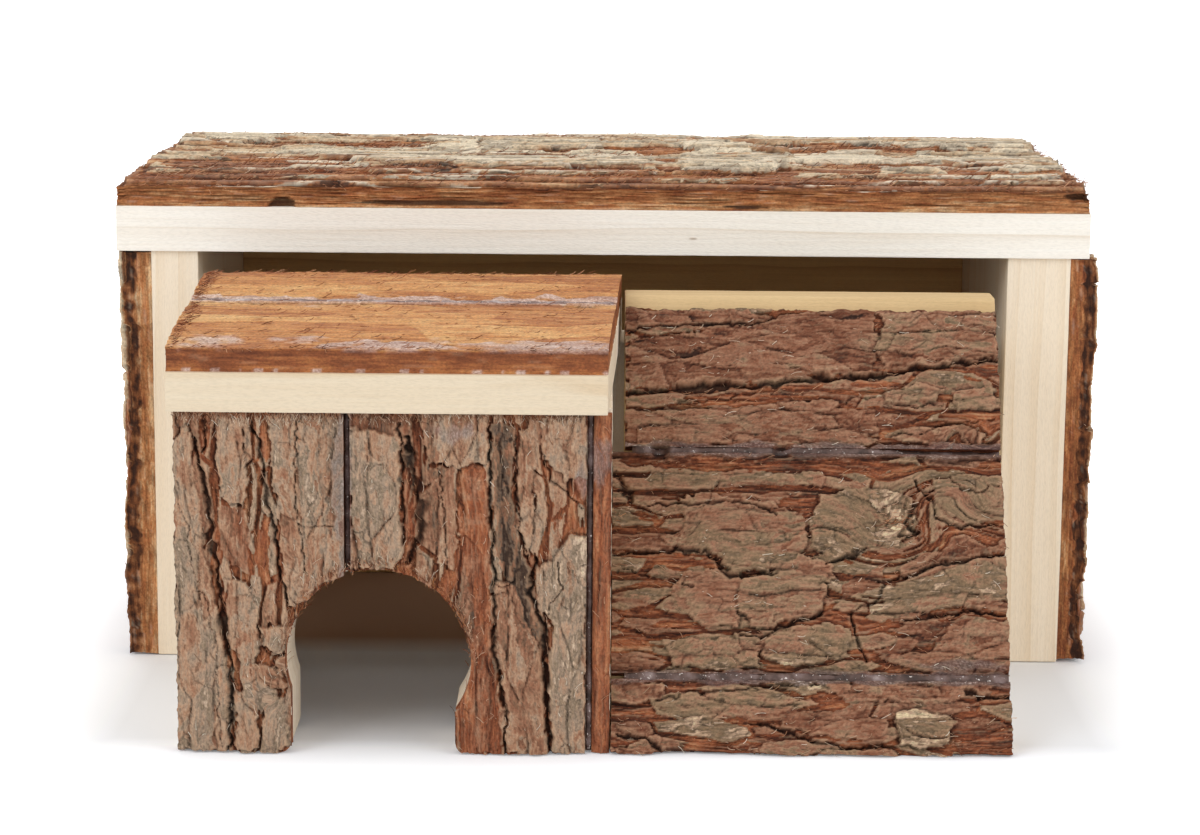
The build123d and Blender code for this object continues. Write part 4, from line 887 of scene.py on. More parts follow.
slabs = {
    "roofFrontBark": {
        **onRoof, **fitted("roof_front_bark", xAxis, yAxis, zAxis), "seed": 11,
        "flaked": [(24, 81, 24.0, 8.0, 1.6), (102, 156, 48.0, 8.0, 2.2), (195, 279, 23.5, 6.5, 1.5),
                   (255, 295.5, 52.0, 7.0, 2.0), (60, 108, 37.5, 1.8, 2.4), (159, 210, 36.5, 3.0, 2.0)],
        "ledges": roofFront + roofEnds,
        "notches": [(51.0, 4.3, 2.6, 2.0, 0.6), (98.0, 26.0, 0.9, 0.25, 1.6), (194.0, 8.0, 0.5, 0.5, 1.1),
                    (296.0, 5.0, 1.1, 1.2, 5.2)],
        "ragged": (0.7, 1.6, 0.25, 0.1),
        "plates": [
            (0.74, 0.9, 1, [(43, 55), (63, 59), (82, 52), (100, 49), (100, 36), (80, 36), (58, 43)]),
            (0.5, 0.6, 1, [(59, 38), (75, 45), (86, 33), (100, 25), (100, 4), (86, 5), (67, 18)]),
            (0.62, 0.7, 1, [(103, 28), (120, 36), (136, 28), (149, 32), (149, 0), (118, 0), (105, 7)]),
            (0.64, 0.8, 1, [(174, 45), (191, 54), (201, 53), (209, 39), (203, 15), (189, 5), (174, 8)]),
            (0.93, 0.9, 1, [(205, 24), (216, 44), (231, 50), (240, 46), (238, 30), (224, 21), (208, 18)]),
            (0.62, 0.7, 1, [(136, 25), (149, 33), (162, 32), (170, 16), (164, 0), (137, 0)]),
            (0.7, 0.7, 1, [(265, 51), (275, 59), (281, 50), (277, 35), (266, 34)]),
            (0.68, 0.8, 1, [(271, 10), (283, 31), (299, 42), (299, 19), (288, 2), (272, 0)]),
            (0.5, 0.5, 0.9, [(237, 16), (253, 24), (259, 11), (255, 0), (235, 0)]),
        ],
        "cracks": [
            (1.0, 1.8, [(75, 29), (83, 32), (101, 27)]),
            (1.2, 2.0, [(174, 60), (192, 59), (201, 58), (211, 66), (217, 59)]),
            (0.9, 1.4, [(270, 1), (297, 12)]),
            (0.7, 1.2, [(48, 65), (63, 62), (73, 67)]),
        ],
        },
    "roofBackBark": {
        **onRoof, **fitted("roof_back_bark", xAxis, yAxis, zAxis), "seed": 12, "toneShift": 0.06,
        "flaked": [(27, 96, 20.0, 6.0, 1.6), (120, 186, 13.0, 5.5, 1.7), (204, 276, 20.0, 8.0, 1.8),
                   (39, 138, 43.0, 6.5, 1.6), (168, 261, 42.0, 7.0, 1.7), (90, 225, 62.0, 3.8, 1.5),
                   (135, 183, 30.0, 1.6, 2.2), (15, 63, 33.0, 1.6, 2.0)],
        "ledges": [("back", 5.0, 9.2), ("back", 1.5, 7.0)] + roofEnds, "ragged": (0.8, 1.8, 0.1, 0.8),
        "plates": [
            (0.9, 0.9, 1, [(13, 37), (26, 43), (40, 37), (41, 22), (30, 16), (17, 22)]),
            (0.5, 0.5, 1, [(38, 25), (53, 33), (69, 27), (69, 4), (56, 0), (45, 1)]),
            (0.88, 1.0, 1, [(90, 42), (108, 41), (109, 0), (101, 0), (93, 3)]),
            (0.6, 0.7, 1, [(108, 38), (129, 48), (149, 42), (149, 15), (131, 9), (110, 14)]),
            (0.5, 0.5, 1, [(11, 36), (5, 11), (9, 0), (18, 0), (24, 13)]),
            (0.9, 0.8, 1, [(137, 16), (150, 20), (160, 8), (158, 0), (143, 0)]),
            (0.95, 0.9, 1, [(176, 25), (187, 32), (198, 24), (196, 3), (183, 0), (176, 4)]),
            (0.8, 1.1, 1, [(223, 3), (232, 25), (241, 21), (241, 0), (224, 0)]),
            (0.9, 0.8, 1, [(253, 14), (261, 17), (260, 2), (252, 0)]),
            (0.52, 0.6, 1, [(256, 49), (270, 42), (286, 38), (297, 29), (294, 18), (274, 24), (255, 30)]),
            (0.55, 0.6, 1, [(188, 48), (204, 53), (221, 49), (237, 47), (236, 31), (212, 26), (188, 29)]),
        ],
        },
    "leftFrontBark": {
        **onWall, **fitted("left_wall_front_bark", zAxis, yAxis, -xAxis, 0.2), **onFrontEnd, "seed": 13,
        "fissure": 2.4, "sawnTone": 0.5, "ragged": (0.6, 0.3, 0.5, 0.1)},
    "leftBackBark": {
        **onWall, **fitted("left_wall_back_bark", zAxis, yAxis, -xAxis, 0.2), "seed": 14,
        "fissure": 2.4, "ragged": (0.6, 0.3, 0.1, 0.6)},
    "rightFrontBark": {
        **onWall, **fitted("right_wall_front_bark", zAxis, -yAxis, xAxis, 0.2), **onFrontEnd, "seed": 15,
        "sawnTone": 0.02, "ragged": (1.0, 0.3, 0.1, 0.5)},
    "rightBackBark": {
        **onWall, **fitted("right_wall_back_bark", zAxis, -yAxis, xAxis, 0.2), "seed": 16,
        "sawnTone": 0.02, "ragged": (0.6, 0.3, 0.6, 0.1)},
    "backLowerBark": {
        **onBack, **fitted("back_wall_lower_bark", -xAxis, zAxis, yAxis, 0.2), "seed": 17,
        "ragged": (0.1, 0.1, 0.8, 0.1)},
    "backUpperBark": {
        **onBack, **fitted("back_wall_upper_bark", -xAxis, zAxis, yAxis, 0.2), "seed": 18,
        "wide": 63.6,  # mm, just clear of the roof
        "ragged": (0.1, 0.1, 0.1, 0.3)},
    "porchLeftBark": {
        **fitted("porch_front_left_bark", zAxis, xAxis, -yAxis), **onPorch, "seed": 21, "rows": 9,
        "ragged": (0.5, 0.3, 0.8, 0.1), "sunk": 1.3, "doorway": door, "toneShift": 0.05,
        "plates": [
            (0.6, 0.7, 1, [(86, 0), (94, 4), (90, 6), (77, 6), (71, 8), (57, 9), (48, 11), (34, 14),
                           (14, 16), (0, 15), (0, 0)]),
            (0.3, 0.2, 0.8, [(98, 0), (98, 8), (86, 8), (90, 6), (94, 4), (86, 0)]),
            (0.5, 0.5, 1, [(98, 12), (98, 20), (78, 21), (71, 20), (72, 14), (86, 12)]),
            (0.28, -0.2, 0.5, [(71, 12), (70, 21), (60, 22), (52, 21), (54, 16), (60, 13)]),
            (0.5, 0.4, 1, [(50, 15), (50, 20), (46, 22), (40, 24), (28, 24), (26, 18), (32, 15)]),
            (0.54, 0.6, 1, [(98, 27), (98, 49), (52, 49), (50, 43), (46, 38), (41, 34), (43, 32),
                            (52, 31), (62, 30), (77, 28)]),
            (0.6, 0.9, 1, [(37, 24), (37, 31), (30, 31), (29, 27), (31, 24)]),
            (0.4, 0.6, 0.9, [(26, 19), (25, 30), (19, 32), (18, 24), (20, 19)]),
            (0.5, 0.5, 1, [(18, 16), (19, 23), (2, 24), (0, 17)]),
            (0.64, 0.7, 1, [(17, 24), (17, 31), (2, 32), (1, 25)]),
        ],
        "cracks": [
            (1.1, 2.2, [(90, 6), (82, 8), (70, 10), (52, 12), (38, 14), (20, 16), (0, 15)]),
            (2, 3, [(63, 10), (57, 11)]),
            (1.7, 2.8, [(39, 13), (33, 14)]),
            (0.3, 0.6, [(77, 1), (65, 4), (47, 6), (46, 9), (28, 12), (9, 12), (1, 13)]),
            (0.9, 1.9, [(96, 22), (86, 25), (77, 26), (61, 29), (52, 30), (43, 32)]),
            (0.35, 0.9, [(97, 35), (77, 34), (60, 36), (52, 37)]),
            (0.25, 0.5, [(66, 35), (65, 41), (66, 46)]),
            (0.7, 1.5, [(96, 9), (86, 9)]),
            (0.4, 0.9, [(37, 24), (31, 25), (28, 27), (29, 31)]),
        ],
        "seams": [("back", 3.4, 4.6)],
        "fringes": [(96.8, 20.0, 2.0, 24.0, 11.0), (96.8, 44.0, 2.0, 6.0, 5.0)],
        "swirls": [(22.0, 28.0, 6.0, 1.6)]},
    "porchRightBark": {
        **fitted("porch_front_right_bark", zAxis, xAxis, -yAxis), **onPorch, "seed": 22, "rows": 9,
        "ragged": (0.5, 0.3, 0.1, 0.3), "sunk": 1.3, "doorway": door, "toneShift": -0.04,
        "plates": [
            (0.6, 0.7, 1, [(94, 0), (95, 10), (88, 14), (72, 14), (60, 15), (53, 12), (53, 0)]),
            (0.3, 0.3, 0.5, [(98, 0), (98, 18), (90, 17), (92, 8), (94, 0)]),
            (0.46, 0.5, 1, [(98, 19), (98, 39), (84, 38), (82, 30), (84, 22)]),
            (0.28, 0.3, 0.7, [(83, 22), (82, 29), (66, 30), (53, 29), (55, 24), (70, 22)]),
            (0.3, 0.45, 0.3, [(83, 31), (83, 38), (66, 39), (30, 40), (12, 42), (0, 43), (0, 30),
                              (14, 30), (24, 33), (42, 34), (55, 31), (70, 30)]),
            (0.1, 0.2, 0.9, [(95, 39), (95, 46), (80, 45), (66, 46), (52, 50), (38, 54), (28, 54),
                             (36, 50), (48, 44), (58, 41), (75, 40)]),
            (0.42, 0.55, 1, [(93, 47), (92, 51), (64, 51), (55, 50), (66, 47), (80, 46)]),
            (0.5, 0.7, 1, [(97, 53), (97, 66), (80, 66), (78, 60), (86, 53)]),
            (0.66, 0.8, 1, [(64, 62), (62, 66), (0, 66), (0, 56), (26, 55), (38, 57), (42, 52), (55, 53),
                            (58, 58)]),
            (0.42, 0.5, 1, [(50, 40), (50, 46), (40, 49), (30, 53), (18, 54), (0, 55), (0, 44), (14, 43),
                            (32, 41)]),
        ],
        "cracks": [
            (2.6, 2.6, [(90, 16), (83, 17), (75, 19), (67, 20), (62, 19), (55, 16)]),
            (1.5, 3, [(88, 15), (87, 17)]),
            (0.7, 1.4, [(94, 14), (60, 15)]),
            (0.9, 1.8, [(92, 39), (75, 39), (50, 40), (31, 40), (14, 43), (0, 44)]),
            (0.5, 1.1, [(92, 46), (80, 46), (66, 47), (55, 50)]),
            (1.2, 2.2, [(58, 52), (46, 50), (38, 54), (14, 55), (0, 56)]),
            (0.4, 0.8, [(82, 25), (68, 26), (54, 27)]),
            (0.35, 0.8, [(56, 57), (48, 59), (42, 55), (36, 56)]),
            (0.35, 0.8, [(50, 40), (48, 43), (51, 46)]),
            (0.5, 1, [(88, 53), (79, 56), (74, 61), (70, 65)]),
        ],
        "seams": [("front", 0.5, 4.2)],
        "fringes": [(96.8, 12.0, 1.8, 12.0, 9.0), (96.8, 50.0, 1.6, 14.0, 9.0)],
        "glue": [(92.0, 29.0, 3.5, 8.0, 0.8), (79.0, 64.5, 6.0, 2.6, 0.95)]},
    "porchEdgeBark": {
        **fitted("porch_front_edge_bark", zAxis, xAxis, -yAxis), **onPorch, "seed": 23, "crest": 3.5,
        "toneShift": -0.15, "cover": 0.05, "sunk": 0.5, "channel": 0.2, "fissure": 0.6, "flake": 0.1,
        "fibre": 0.4, "rough": 0.4, "ragged": (0.4, 0.3, 0.1, 0.2), "glue": [(84.0, 2.0, 8.0, 4.0, 0.95)],
        "hairs": 0.1},
    "porchRoofFrontBark": {
        **onPorchRoof, "node": "porch_roof_front_bark", "seed": 24, "rows": 10,
        "origin": roofBase + 2.1 * upSlope,
        "long": roofLong, "wide": 53.1, "toneShift": 0.1, "seams": [("back", 4.2, 6.9)],
        "glue": [(108.0, 3.0, 30.0, 6.0, 1.0), (62.0, 3.5, 26.0, 5.0, 0.9), (12.0, 5.0, 12.0, 6.0, 0.8),
                 (36.0, 8.0, 14.0, 4.0, 0.6), (38.0, 46.0, 9.0, 3.0, 0.6)],
        "fringes": [(0.5, 20.0, 1.6, 40.0, 3.0), (60.0, 0.3, 80.0, 0.8, 1.2)], "dashes": 1.0},
    "porchRoofBackBark": {
        **onPorchRoof, "node": "porch_roof_back_bark", "seed": 25,
        "origin": roofBase + (roofSeam + halfSeam) * upSlope,
        "long": roofLong + 2.5, "wide": 36.0, "seams": [("front", 3.4, 6.9)],
        "fringes": [(0.5, 18.0, 1.8, 40.0, 4.0), (60.0, 35.8, 80.0, 1.0, 2.0)]},
    "rampLowerBark": {
        **onRamp, "node": "ramp_lower_bark", "seed": 31, "rows": 9, "origin": rampBase,
        "foot": rampThick, "footRate": tan(lean),
        "long": rampLong, "wide": lowerSeam - halfSeam, "ragged": (0.5, 0.6, 0.0, 0.1),
        "plates": [
            (0.42, 0.4, 1, [(1, 23), (15, 23), (15, 19), (8, 18), (1, 19)]),
            (0.62, 0.2, 0.9, [(11, 19), (42, 21), (60, 17), (48, 14), (24, 11), (13, 13)]),
            (0.45, 0.5, 1, [(60, 23), (88, 24), (104, 23), (104, 19), (87, 17), (66, 18)]),
            (0.35, 0.3, 0.9, [(48, 14), (68, 15), (79, 12), (78, 6), (60, 7), (48, 10)]),
            (0.12, 0.2, 0.2, [(96, 10), (115, 10), (114, 2), (99, 1)]),
            (0.85, 1.3, 1, [(80, 15), (87, 15), (93, 14), (99, 12), (95, 6), (92, 4), (81, 5)]),
            (0.55, 0.5, 1, [(41, 3), (44, 6), (55, 6), (69, 4), (79, 4), (83, 1), (78, -2), (60, -2),
                            (44, 1)]),
            (0.6, 0.8, 1, [(83, 1), (91, 1), (98, 0), (96, -2), (85, -2)]),
            (0.35, 0.9, 1, [(1, 10), (11, 10), (15, 6), (14, 4), (3, 8)]),
            (0.25, 0.5, 1, [(1, 3), (20, 5), (23, 3), (11, -1), (1, -1)]),
        ],
        "cracks": [
            (0.8, 1.6, [(42, 11), (60, 5), (69, 4), (80, 5)]),
            (1.2, 2.2, [(2, 7), (10, 6), (15, 3), (24, 3)]),
            (1.2, 2.4, [(101, 21), (106, 19), (115, 19)]),
            (0.6, 1.2, [(18, 24), (42, 23), (60, 22)]),
            (0.5, 1, [(42, 21), (24, 20), (13, 17)]),
        ],
        "seams": [("back", 1.6, 3.9)]},
    "rampMiddleBark": {
        **onRamp, "node": "ramp_middle_bark", "seed": 32,
        "origin": rampBase + (lowerSeam + halfSeam) * upRamp,
        "long": rampLong, "wide": upperSeam - lowerSeam - 2 * halfSeam, "ragged": (0.5, 0.6, 0.1, 0.1),
        "plates": [
            (0.2, 0.1, 0.4, [(15, 67), (76, 68), (76, 64), (43, 63), (15, 63)]),
            (0.6, 0.2, 0.9, [(11, 63), (34, 63), (49, 61), (62, 61), (61, 56), (47, 58), (27, 56),
                             (11, 56)]),
            (0.5, 0.6, 1, [(19, 51), (27, 54), (47, 51), (56, 47), (56, 36), (48, 31), (34, 32), (27, 37),
                           (17, 37), (14, 40), (21, 43), (20, 48)]),
            (0.52, 0.9, 1, [(19, 52), (23, 54), (24, 51), (21, 47)]),
            (0.45, 0.7, 1, [(46, 30), (54, 36), (63, 33), (65, 28), (61, 26), (48, 25)]),
            (0.4, 0.6, 1, [(17, 23), (21, 30), (37, 31), (38, 22), (36, 13), (27, 13), (22, 16)]),
            (0.55, 0.95, 1, [(32, 35), (43, 36), (47, 36), (46, 30), (35, 30), (32, 32)]),
            (0.47, 1.2, 1, [(37, 28), (48, 30), (60, 28), (62, 23), (60, 18), (52, 16), (43, 12),
                            (40, 14), (36, 20)]),
            (0.6, 0.8, 1, [(35, 12), (38, 13), (42, 11), (42, 9), (36, 9)]),
            (0.7, 0.5, 1, [(57, 45), (61, 54), (76, 56), (87, 53), (89, 45), (83, 38), (75, 36), (63, 34),
                           (57, 38)]),
            (0.84, 0.8, 1, [(80, 49), (88, 50), (88, 46), (82, 42), (79, 44)]),
            (0.62, 0.4, 0.9, [(92, 59), (106, 61), (114, 60), (114, 47), (103, 45), (98, 47), (95, 51)]),
            (0.58, 0.3, 0.9, [(82, 27), (94, 33), (115, 36), (115, 22), (97, 20), (84, 16), (73, 16),
                              (79, 22)]),
            (0.3, 0.7, 0.9, [(82, 31), (89, 36), (111, 38), (115, 41), (115, 37), (94, 33), (83, 28)]),
            (0.15, 0.3, 0.5, [(66, 26), (79, 33), (79, 29), (75, 25), (66, 22)]),
            (0.2, 0.4, 0.6, [(75, 7), (95, 16), (105, 17), (97, 11), (79, 5)]),
            (0.45, 0.4, 1, [(97, 15), (115, 17), (115, 3), (88, 3)]),
            (0.6, 0.4, 1, [(43, 13), (61, 15), (69, 14), (68, 5), (52, 2), (44, 5)]),
            (0.55, 0.4, 1, [(15, 10), (35, 11), (44, 8), (42, 2), (18, 2)]),
        ],
        "cracks": [
            (1, 1.8, [(1, 35), (13, 36), (27, 36), (34, 29), (41, 29), (47, 30)]),
            (0.8, 1.6, [(60, 18), (52, 15), (43, 11), (37, 11)]),
            (0.9, 1.8, [(62, 33), (67, 34), (74, 37)]),
            (1.1, 2, [(88, 51), (85, 45), (89, 42), (83, 41)]),
            (0.7, 1.5, [(88, 58), (93, 52), (94, 47), (101, 44), (112, 45)]),
            (0.8, 1.7, [(77, 27), (85, 29), (92, 32), (102, 34), (114, 36)]),
            (0.9, 1.8, [(84, 16), (102, 19), (114, 18)]),
            (0.6, 1.2, [(68, 18), (75, 21), (79, 26)]),
            (0.5, 1, [(2, 30), (15, 28), (24, 25)]),
            (0.6, 1.2, [(10, 50), (34, 51), (43, 50), (48, 47)]),
            (0.5, 1, [(99, 60), (101, 56), (107, 55), (112, 57)]),
            (0.7, 1.4, [(69, 18), (70, 11), (73, 4)]),
            (1.6, 2.6, [(1, 60), (4, 55), (6, 51)]),
        ],
        "seams": [("front", 1.5, 3.9), ("back", 1.5, 3.9)], "glue": [(100.0, 3.0, 16.0, 2.5, 0.9)],
        "flaked": [(8.0, 104.0, 62.6, 2.3, 1.2)],
        "pits": [(14.0, 66.4, 2.3, 1.6, 2.6), (49.5, 66.4, 2.3, 1.3, 2.6)],
        "fringes": [(1.0, 45.0, 2.0, 25.0, 0.5), (82.0, 46.0, 7.0, 6.0, 0.7)],
        "swirls": [(90.0, 44.0, 17.0, -0.9), (103.0, 52.0, 10.0, 1.5), (72.0, 42.0, 12.0, 0.5)]},
    "rampUpperBark": {
        **onRamp, "node": "ramp_upper_bark", "seed": 33,
        "origin": rampBase + (upperSeam + halfSeam) * upRamp + upperShort * xAxis,
        "long": rampLong - upperShort, "wide": 44.0, "ragged": (0.5, 0.6, 0.1, 0.8),
        "plates": [
            (0.2, 0.2, 0.9, [(0, 43), (38, 43), (45, 41), (34, 37), (0, 36)]),
            (0.3, 0.3, 0.7, [(1, 34), (21, 36), (53, 43), (74, 44), (75, 32), (73, 22), (53, 22),
                             (21, 19), (1, 17)]),
            (0.42, 0.6, 0.9, [(76, 43), (110, 44), (110, 29), (77, 25), (74, 30), (77, 36)]),
            (0.5, 0.95, 1, [(76, 39), (80, 42), (87, 44), (91, 42), (83, 37), (76, 29), (74, 28)]),
            (0.36, 0.3, 0.8, [(0, 11), (45, 13), (73, 12), (74, 4), (49, 1), (0, 0)]),
            (0.42, 0.6, 1, [(45, 13), (58, 15), (63, 14), (61, 11), (49, 10)]),
            (0.52, 0.75, 1, [(76, 17), (86, 20), (94, 18), (92, 15), (77, 13)]),
            (0.45, 0.5, 1, [(95, 18), (109, 19), (109, 12), (98, 12)]),
            (0.3, 0.6, 1, [(98, 6), (103, 7), (107, 5), (105, 2), (99, 2)]),
        ],
        "cracks": [
            (1.3, 2.4, [(0, 16), (17, 18), (30, 20), (38, 19), (57, 21), (77, 23), (94, 26), (110, 28)]),
            (1.9, 3, [(19, 18), (30, 19)]),
            (1.6, 3, [(68, 22), (77, 23)]),
            (0.6, 1.2, [(1, 36), (16, 38), (38, 39), (45, 41)]),
            (0.5, 1, [(45, 18), (38, 17), (30, 15), (16, 14)]),
            (0.4, 0.9, [(77, 4), (86, 5), (95, 8), (109, 10)]),
            (0.4, 0.8, [(62, 12), (66, 15), (74, 15)]),
            (0.3, 0.6, [(81, 36), (100, 37)]),
            (0.4, 0.9, [(76, 13), (86, 13), (94, 14)]),
        ],
        "seams": [("front", 1.8, 3.9)], "pits": [(10.4, -0.3, 2.3, 1.0, 2.6), (46.0, -0.3, 2.3, 1.2, 2.6)],
        "swirls": [(102.0, 4.0, 5.0, 1.8)]},
}
for name, slab in slabs.items():
    addPiece(name, slabMesh(name, slab), slab["body"], slab["finish"], [slab["node"]])

print("boards")


# A sawn board: an outline in the plane across an axis, drawn out from start to end along it, where
# end may be a function of the outline's place
def addBoard(name, node, body, finish, outline, axis, start, end, grainAxis, pith, leanTop=0.0):
    seed = len(bpy.data.meshes)
    spacing, trim, waver = 7.0, 0.4, 0.07  # mm between points, off each arris, and of waver in it
    a, b = (k for k in range(3) if k != axis)
    fine = []
    for (ax, ay), (bx, by) in zip(outline, outline[1:] + outline[:1]):
        parts = max(1, int(hypot(bx - ax, by - ay) / spacing))
        fine += [(ax + (bx - ax) * k / parts, ay + (by - ay) * k / parts) for k in range(parts)]
    last = end if callable(end) else lambda *place: end
    layers = max(1, int((last(*outline[0]) - start) / spacing))
    shape = bmesh.new()
    rings = []
    for k in range(layers + 1):
        rings.append([])
        for x, y in fine:
            place = [0, 0, 0]
            place[a], place[b], place[axis] = x, y, start + (last(x, y) - start) * k / layers
            rings[-1].append(shape.verts.new(place))
    for lower, upper in zip(rings, rings[1:]):
        for k in range(len(fine)):
            after = (k + 1) % len(fine)
            shape.faces.new((lower[k], lower[after], upper[after], upper[k]))
    shape.faces.new(rings[0][::-1])
    shape.faces.new(rings[-1])
    bmesh.ops.recalc_face_normals(shape, faces=shape.faces)
    sharp = [e for e in shape.edges if e.calc_face_angle(0) > radians(28)]
    bmesh.ops.bevel(
        shape, geom=sharp, offset=trim, segments=2, profile=0.6, affect="EDGES", clamp_overlap=True)
    mesh = bpy.data.meshes.new(name)
    shape.to_mesh(mesh)
    shape.free()
    co = np.zeros(len(mesh.vertices) * 3)
    mesh.vertices.foreach_get("co", co)
    co = co.reshape(-1, 3)
    low, high = co.min(0), co.max(0)
    wander = [noise(co[:, (k + 1) % 3] / 9 + seed, co[:, (k + 2) % 3] / 9, 60 + k) for k in range(3)]
    co = np.clip(co + waver * np.stack(wander, -1), low, high)  # sawn arrises are never quite straight
    co[:, 2] += (co[:, 2] > high[2] - 2) * (co[:, 1] - low[1]) * leanTop
    mesh.vertices.foreach_set("co", (co * mm).reshape(-1))
    middle = (low + high) / 2
    grain = [co[:, grainAxis] + 91 * seed]
    grain += [co[:, k] - middle[k] - away for k, away in zip([k for k in range(3) if k != grainAxis], pith)]
    storeField(mesh, "grain", "FLOAT_VECTOR", np.stack(grain, -1))
    mesh.update()
    return addPiece(name, mesh, body, finish, [node])


def arc(cx, cz, radius, start, end, parts):
    turns = [start + (end - start) * k / parts for k in range(parts + 1)]
    return [(cx + radius * cos(t), cz + radius * sin(t)) for t in turns]


# Plain boards: node, finish, grain axis, and where the pith was, seen from the board's middle
plainBoards = {
    "roofFrontBoard": ("roof_front_board", sawnPine, 0, (6.0, -62.0)),
    "roofBackBoard": ("roof_back_board", sawnPine, 0, (-9.0, -70.0)),
    "leftFrontBoard": ("left_wall_front_board", creamPine, 2, (70.0, 8.0)),
    "leftBackBoard": ("left_wall_back_board", creamPine, 2, (64.0, -12.0)),
    "rightFrontBoard": ("right_wall_front_board", creamPine, 2, (-58.0, 5.0)),
    "rightBackBoard": ("right_wall_back_board", creamPine, 2, (-66.0, 10.0)),
    # The back wall's boards take the darker pine as painted shade
    "backLowerBoard": ("back_wall_lower_board", shadedBackPine, 0, (-60.0, 4.0)),
    "backUpperBoard": ("back_wall_upper_board", shadedBackPine, 0, (-52.0, -6.0)),
}
for name, (node, finish, grainAxis, pith) in plainBoards.items():
    low, high = nodeBox(node)
    a, b = [k for k in range(3) if k != grainAxis]
    outline = [(low[a], low[b]), (high[a], low[b]), (high[a], high[b]), (low[a], high[b])]
    start, end = low[grainAxis], high[grainAxis]
    addBoard(name, node, "house", finish, outline, grainAxis, start, end, grainAxis, pith)

top = nodeBox("porch_front_left_bark")[1][2]
slotLeft, slotRight = (door["slotX"] + side * door["slotWidth"] / 2 for side in (-1, 1))
turnLeft, turnRight, turnSeam = (
    float(np.arccos((x - door["x"]) / door["radius"])) for x in (slotLeft, slotRight, seamX))
axisZ, radius, toe = door["height"], door["radius"], door["toe"]
leftOutline = [(porchX, 0), (slotLeft - toe, 0)] + arc(slotLeft - toe, toe, toe, -pi / 2, 0, 4)[1:]
leftOutline += arc(door["x"], axisZ, radius, 2 * pi - turnLeft, turnSeam, 24)
leftOutline += [(seamX, top), (porchX, top)]
rightOutline = [(edgeX, 0), (edgeX, top), (seamX, top)]
rightOutline += arc(door["x"], axisZ, radius, turnSeam, -turnRight, 36)
rightOutline += arc(slotRight + toe, toe, toe, pi, 3 * pi / 2, 4)
edgeEnd = nodeBox("porch_front_edge_board")[1][0]
edgeOutline = [(edgeX, 0), (edgeEnd, 0), (edgeEnd, top), (edgeX, top)]
backOfBoard = nodeBox("porch_front_left_board")[1][1]
for name, node, outline, pith in (
    ("porchLeftBoard", "porch_front_left_board", leftOutline, (4.0, 72.0)),
    ("porchRightBoard", "porch_front_right_board", rightOutline, (-9.0, 66.0)),
    ("porchEdgeBoard", "porch_front_edge_board", edgeOutline, (-20.0, 60.0)),
):
    addBoard(name, node, "porch_half", creamPine, outline, 1, boardY, backOfBoard, 2, pith, tan(slope))


# Side views, as y and z: s is the way up the slope, and n how far out of it
def roofPoint(s, n):
    return (porchFront + s * cos(slope) - n * sin(slope), eaves + s * sin(slope) + n * cos(slope))


def rampPoint(s, n):
    return (rampY + s * sin(lean) - n * cos(lean), s * cos(lean) + n * sin(lean))


# The same at a height above the floor
def rampLevel(z, n):
    return rampPoint((z - n * sin(lean)) / cos(lean), n)


wallTop = nodeBox("porch_left_wall")[1][2]
wallBack = nodeBox("porch_left_wall")[1][1]
rampTop = nodeBox("ramp_upper_board")[1][2]
interface, rampBack, cleatBack = -rampThick, -17.0, -29.0  # depths behind the ramp's face
underRoof = [(backOfBoard, 0), (wallBack, 0), (wallBack, wallTop), (roofPoint(roofRun, 0)[0], wallTop),
             (backOfBoard, eaves + (backOfBoard - porchFront) * tan(slope))]


# Where the plane at depth n behind the ramp's face meets the underside of the porch roof
def rampUnderRoof(n):
    y0, z0 = rampPoint(0, n)
    s = (eaves + (y0 - porchFront) * tan(slope) - z0) / (cos(lean) - sin(lean) * tan(slope))
    return rampPoint(s, n)


def skewedEnd(y, z):
    return porchX - 1 + roofLong + (y - porchFront) * skew


outlinesX = {
    "porchLeftWall": ("porch_left_wall", creamPine, underRoof, 2),
    "porchMiddleWall": ("porch_middle_wall", creamPine, underRoof, 2),
    "porchRoofFrontBoard": ("porch_roof_front_board", porchPine, [
        (porchFront, eaves), roofPoint(roofSeam, 0), roofPoint(roofSeam, roofThick),
        (porchFront, eaves + roofThick / cos(slope))], 0),
    "porchRoofBackBoard": ("porch_roof_back_board", creamPine, [
        roofPoint(roofSeam, 0), roofPoint(roofRun, 0), roofPoint(roofRun, roofThick),
        roofPoint(roofSeam, roofThick)], 0),
    "rampLowerBoard": ("ramp_lower_board", rampPine, [
        rampLevel(0, interface), rampLevel(0, rampBack), rampPoint(lowerSeam, rampBack),
        rampPoint(lowerSeam, interface)], 0),
    "rampMiddleBoard": ("ramp_middle_board", rampPine, [
        rampPoint(lowerSeam, interface), rampPoint(lowerSeam, rampBack), rampPoint(upperSeam, rampBack),
        rampPoint(upperSeam, interface)], 0),
    "rampUpperBoard": ("ramp_upper_board", rampPine, [
        rampPoint(upperSeam, interface), rampPoint(upperSeam, rampBack), rampLevel(rampTop, rampBack),
        rampLevel(rampTop, interface)], 0),
    "rampRightWall": ("ramp_right_wall", creamPine, [
        rampLevel(0, rampBack), (wallBack, 0), (wallBack, wallTop), rampLevel(wallTop, rampBack)], 2),
    "rampCleat": ("ramp_cleat", creamPine, [
        rampLevel(0, rampBack), rampLevel(0, cleatBack), rampUnderRoof(cleatBack),
        rampUnderRoof(rampBack)], 2),
}
for name, (node, finish, outline, grainAxis) in outlinesX.items():
    low, high = nodeBox(node)
    end = skewedEnd if "porchRoof" in name else high[0]
    addBoard(name, node, "porch_half", finish, outline, 0, low[0], end, grainAxis, (64.0, 9.0))

print("glue")


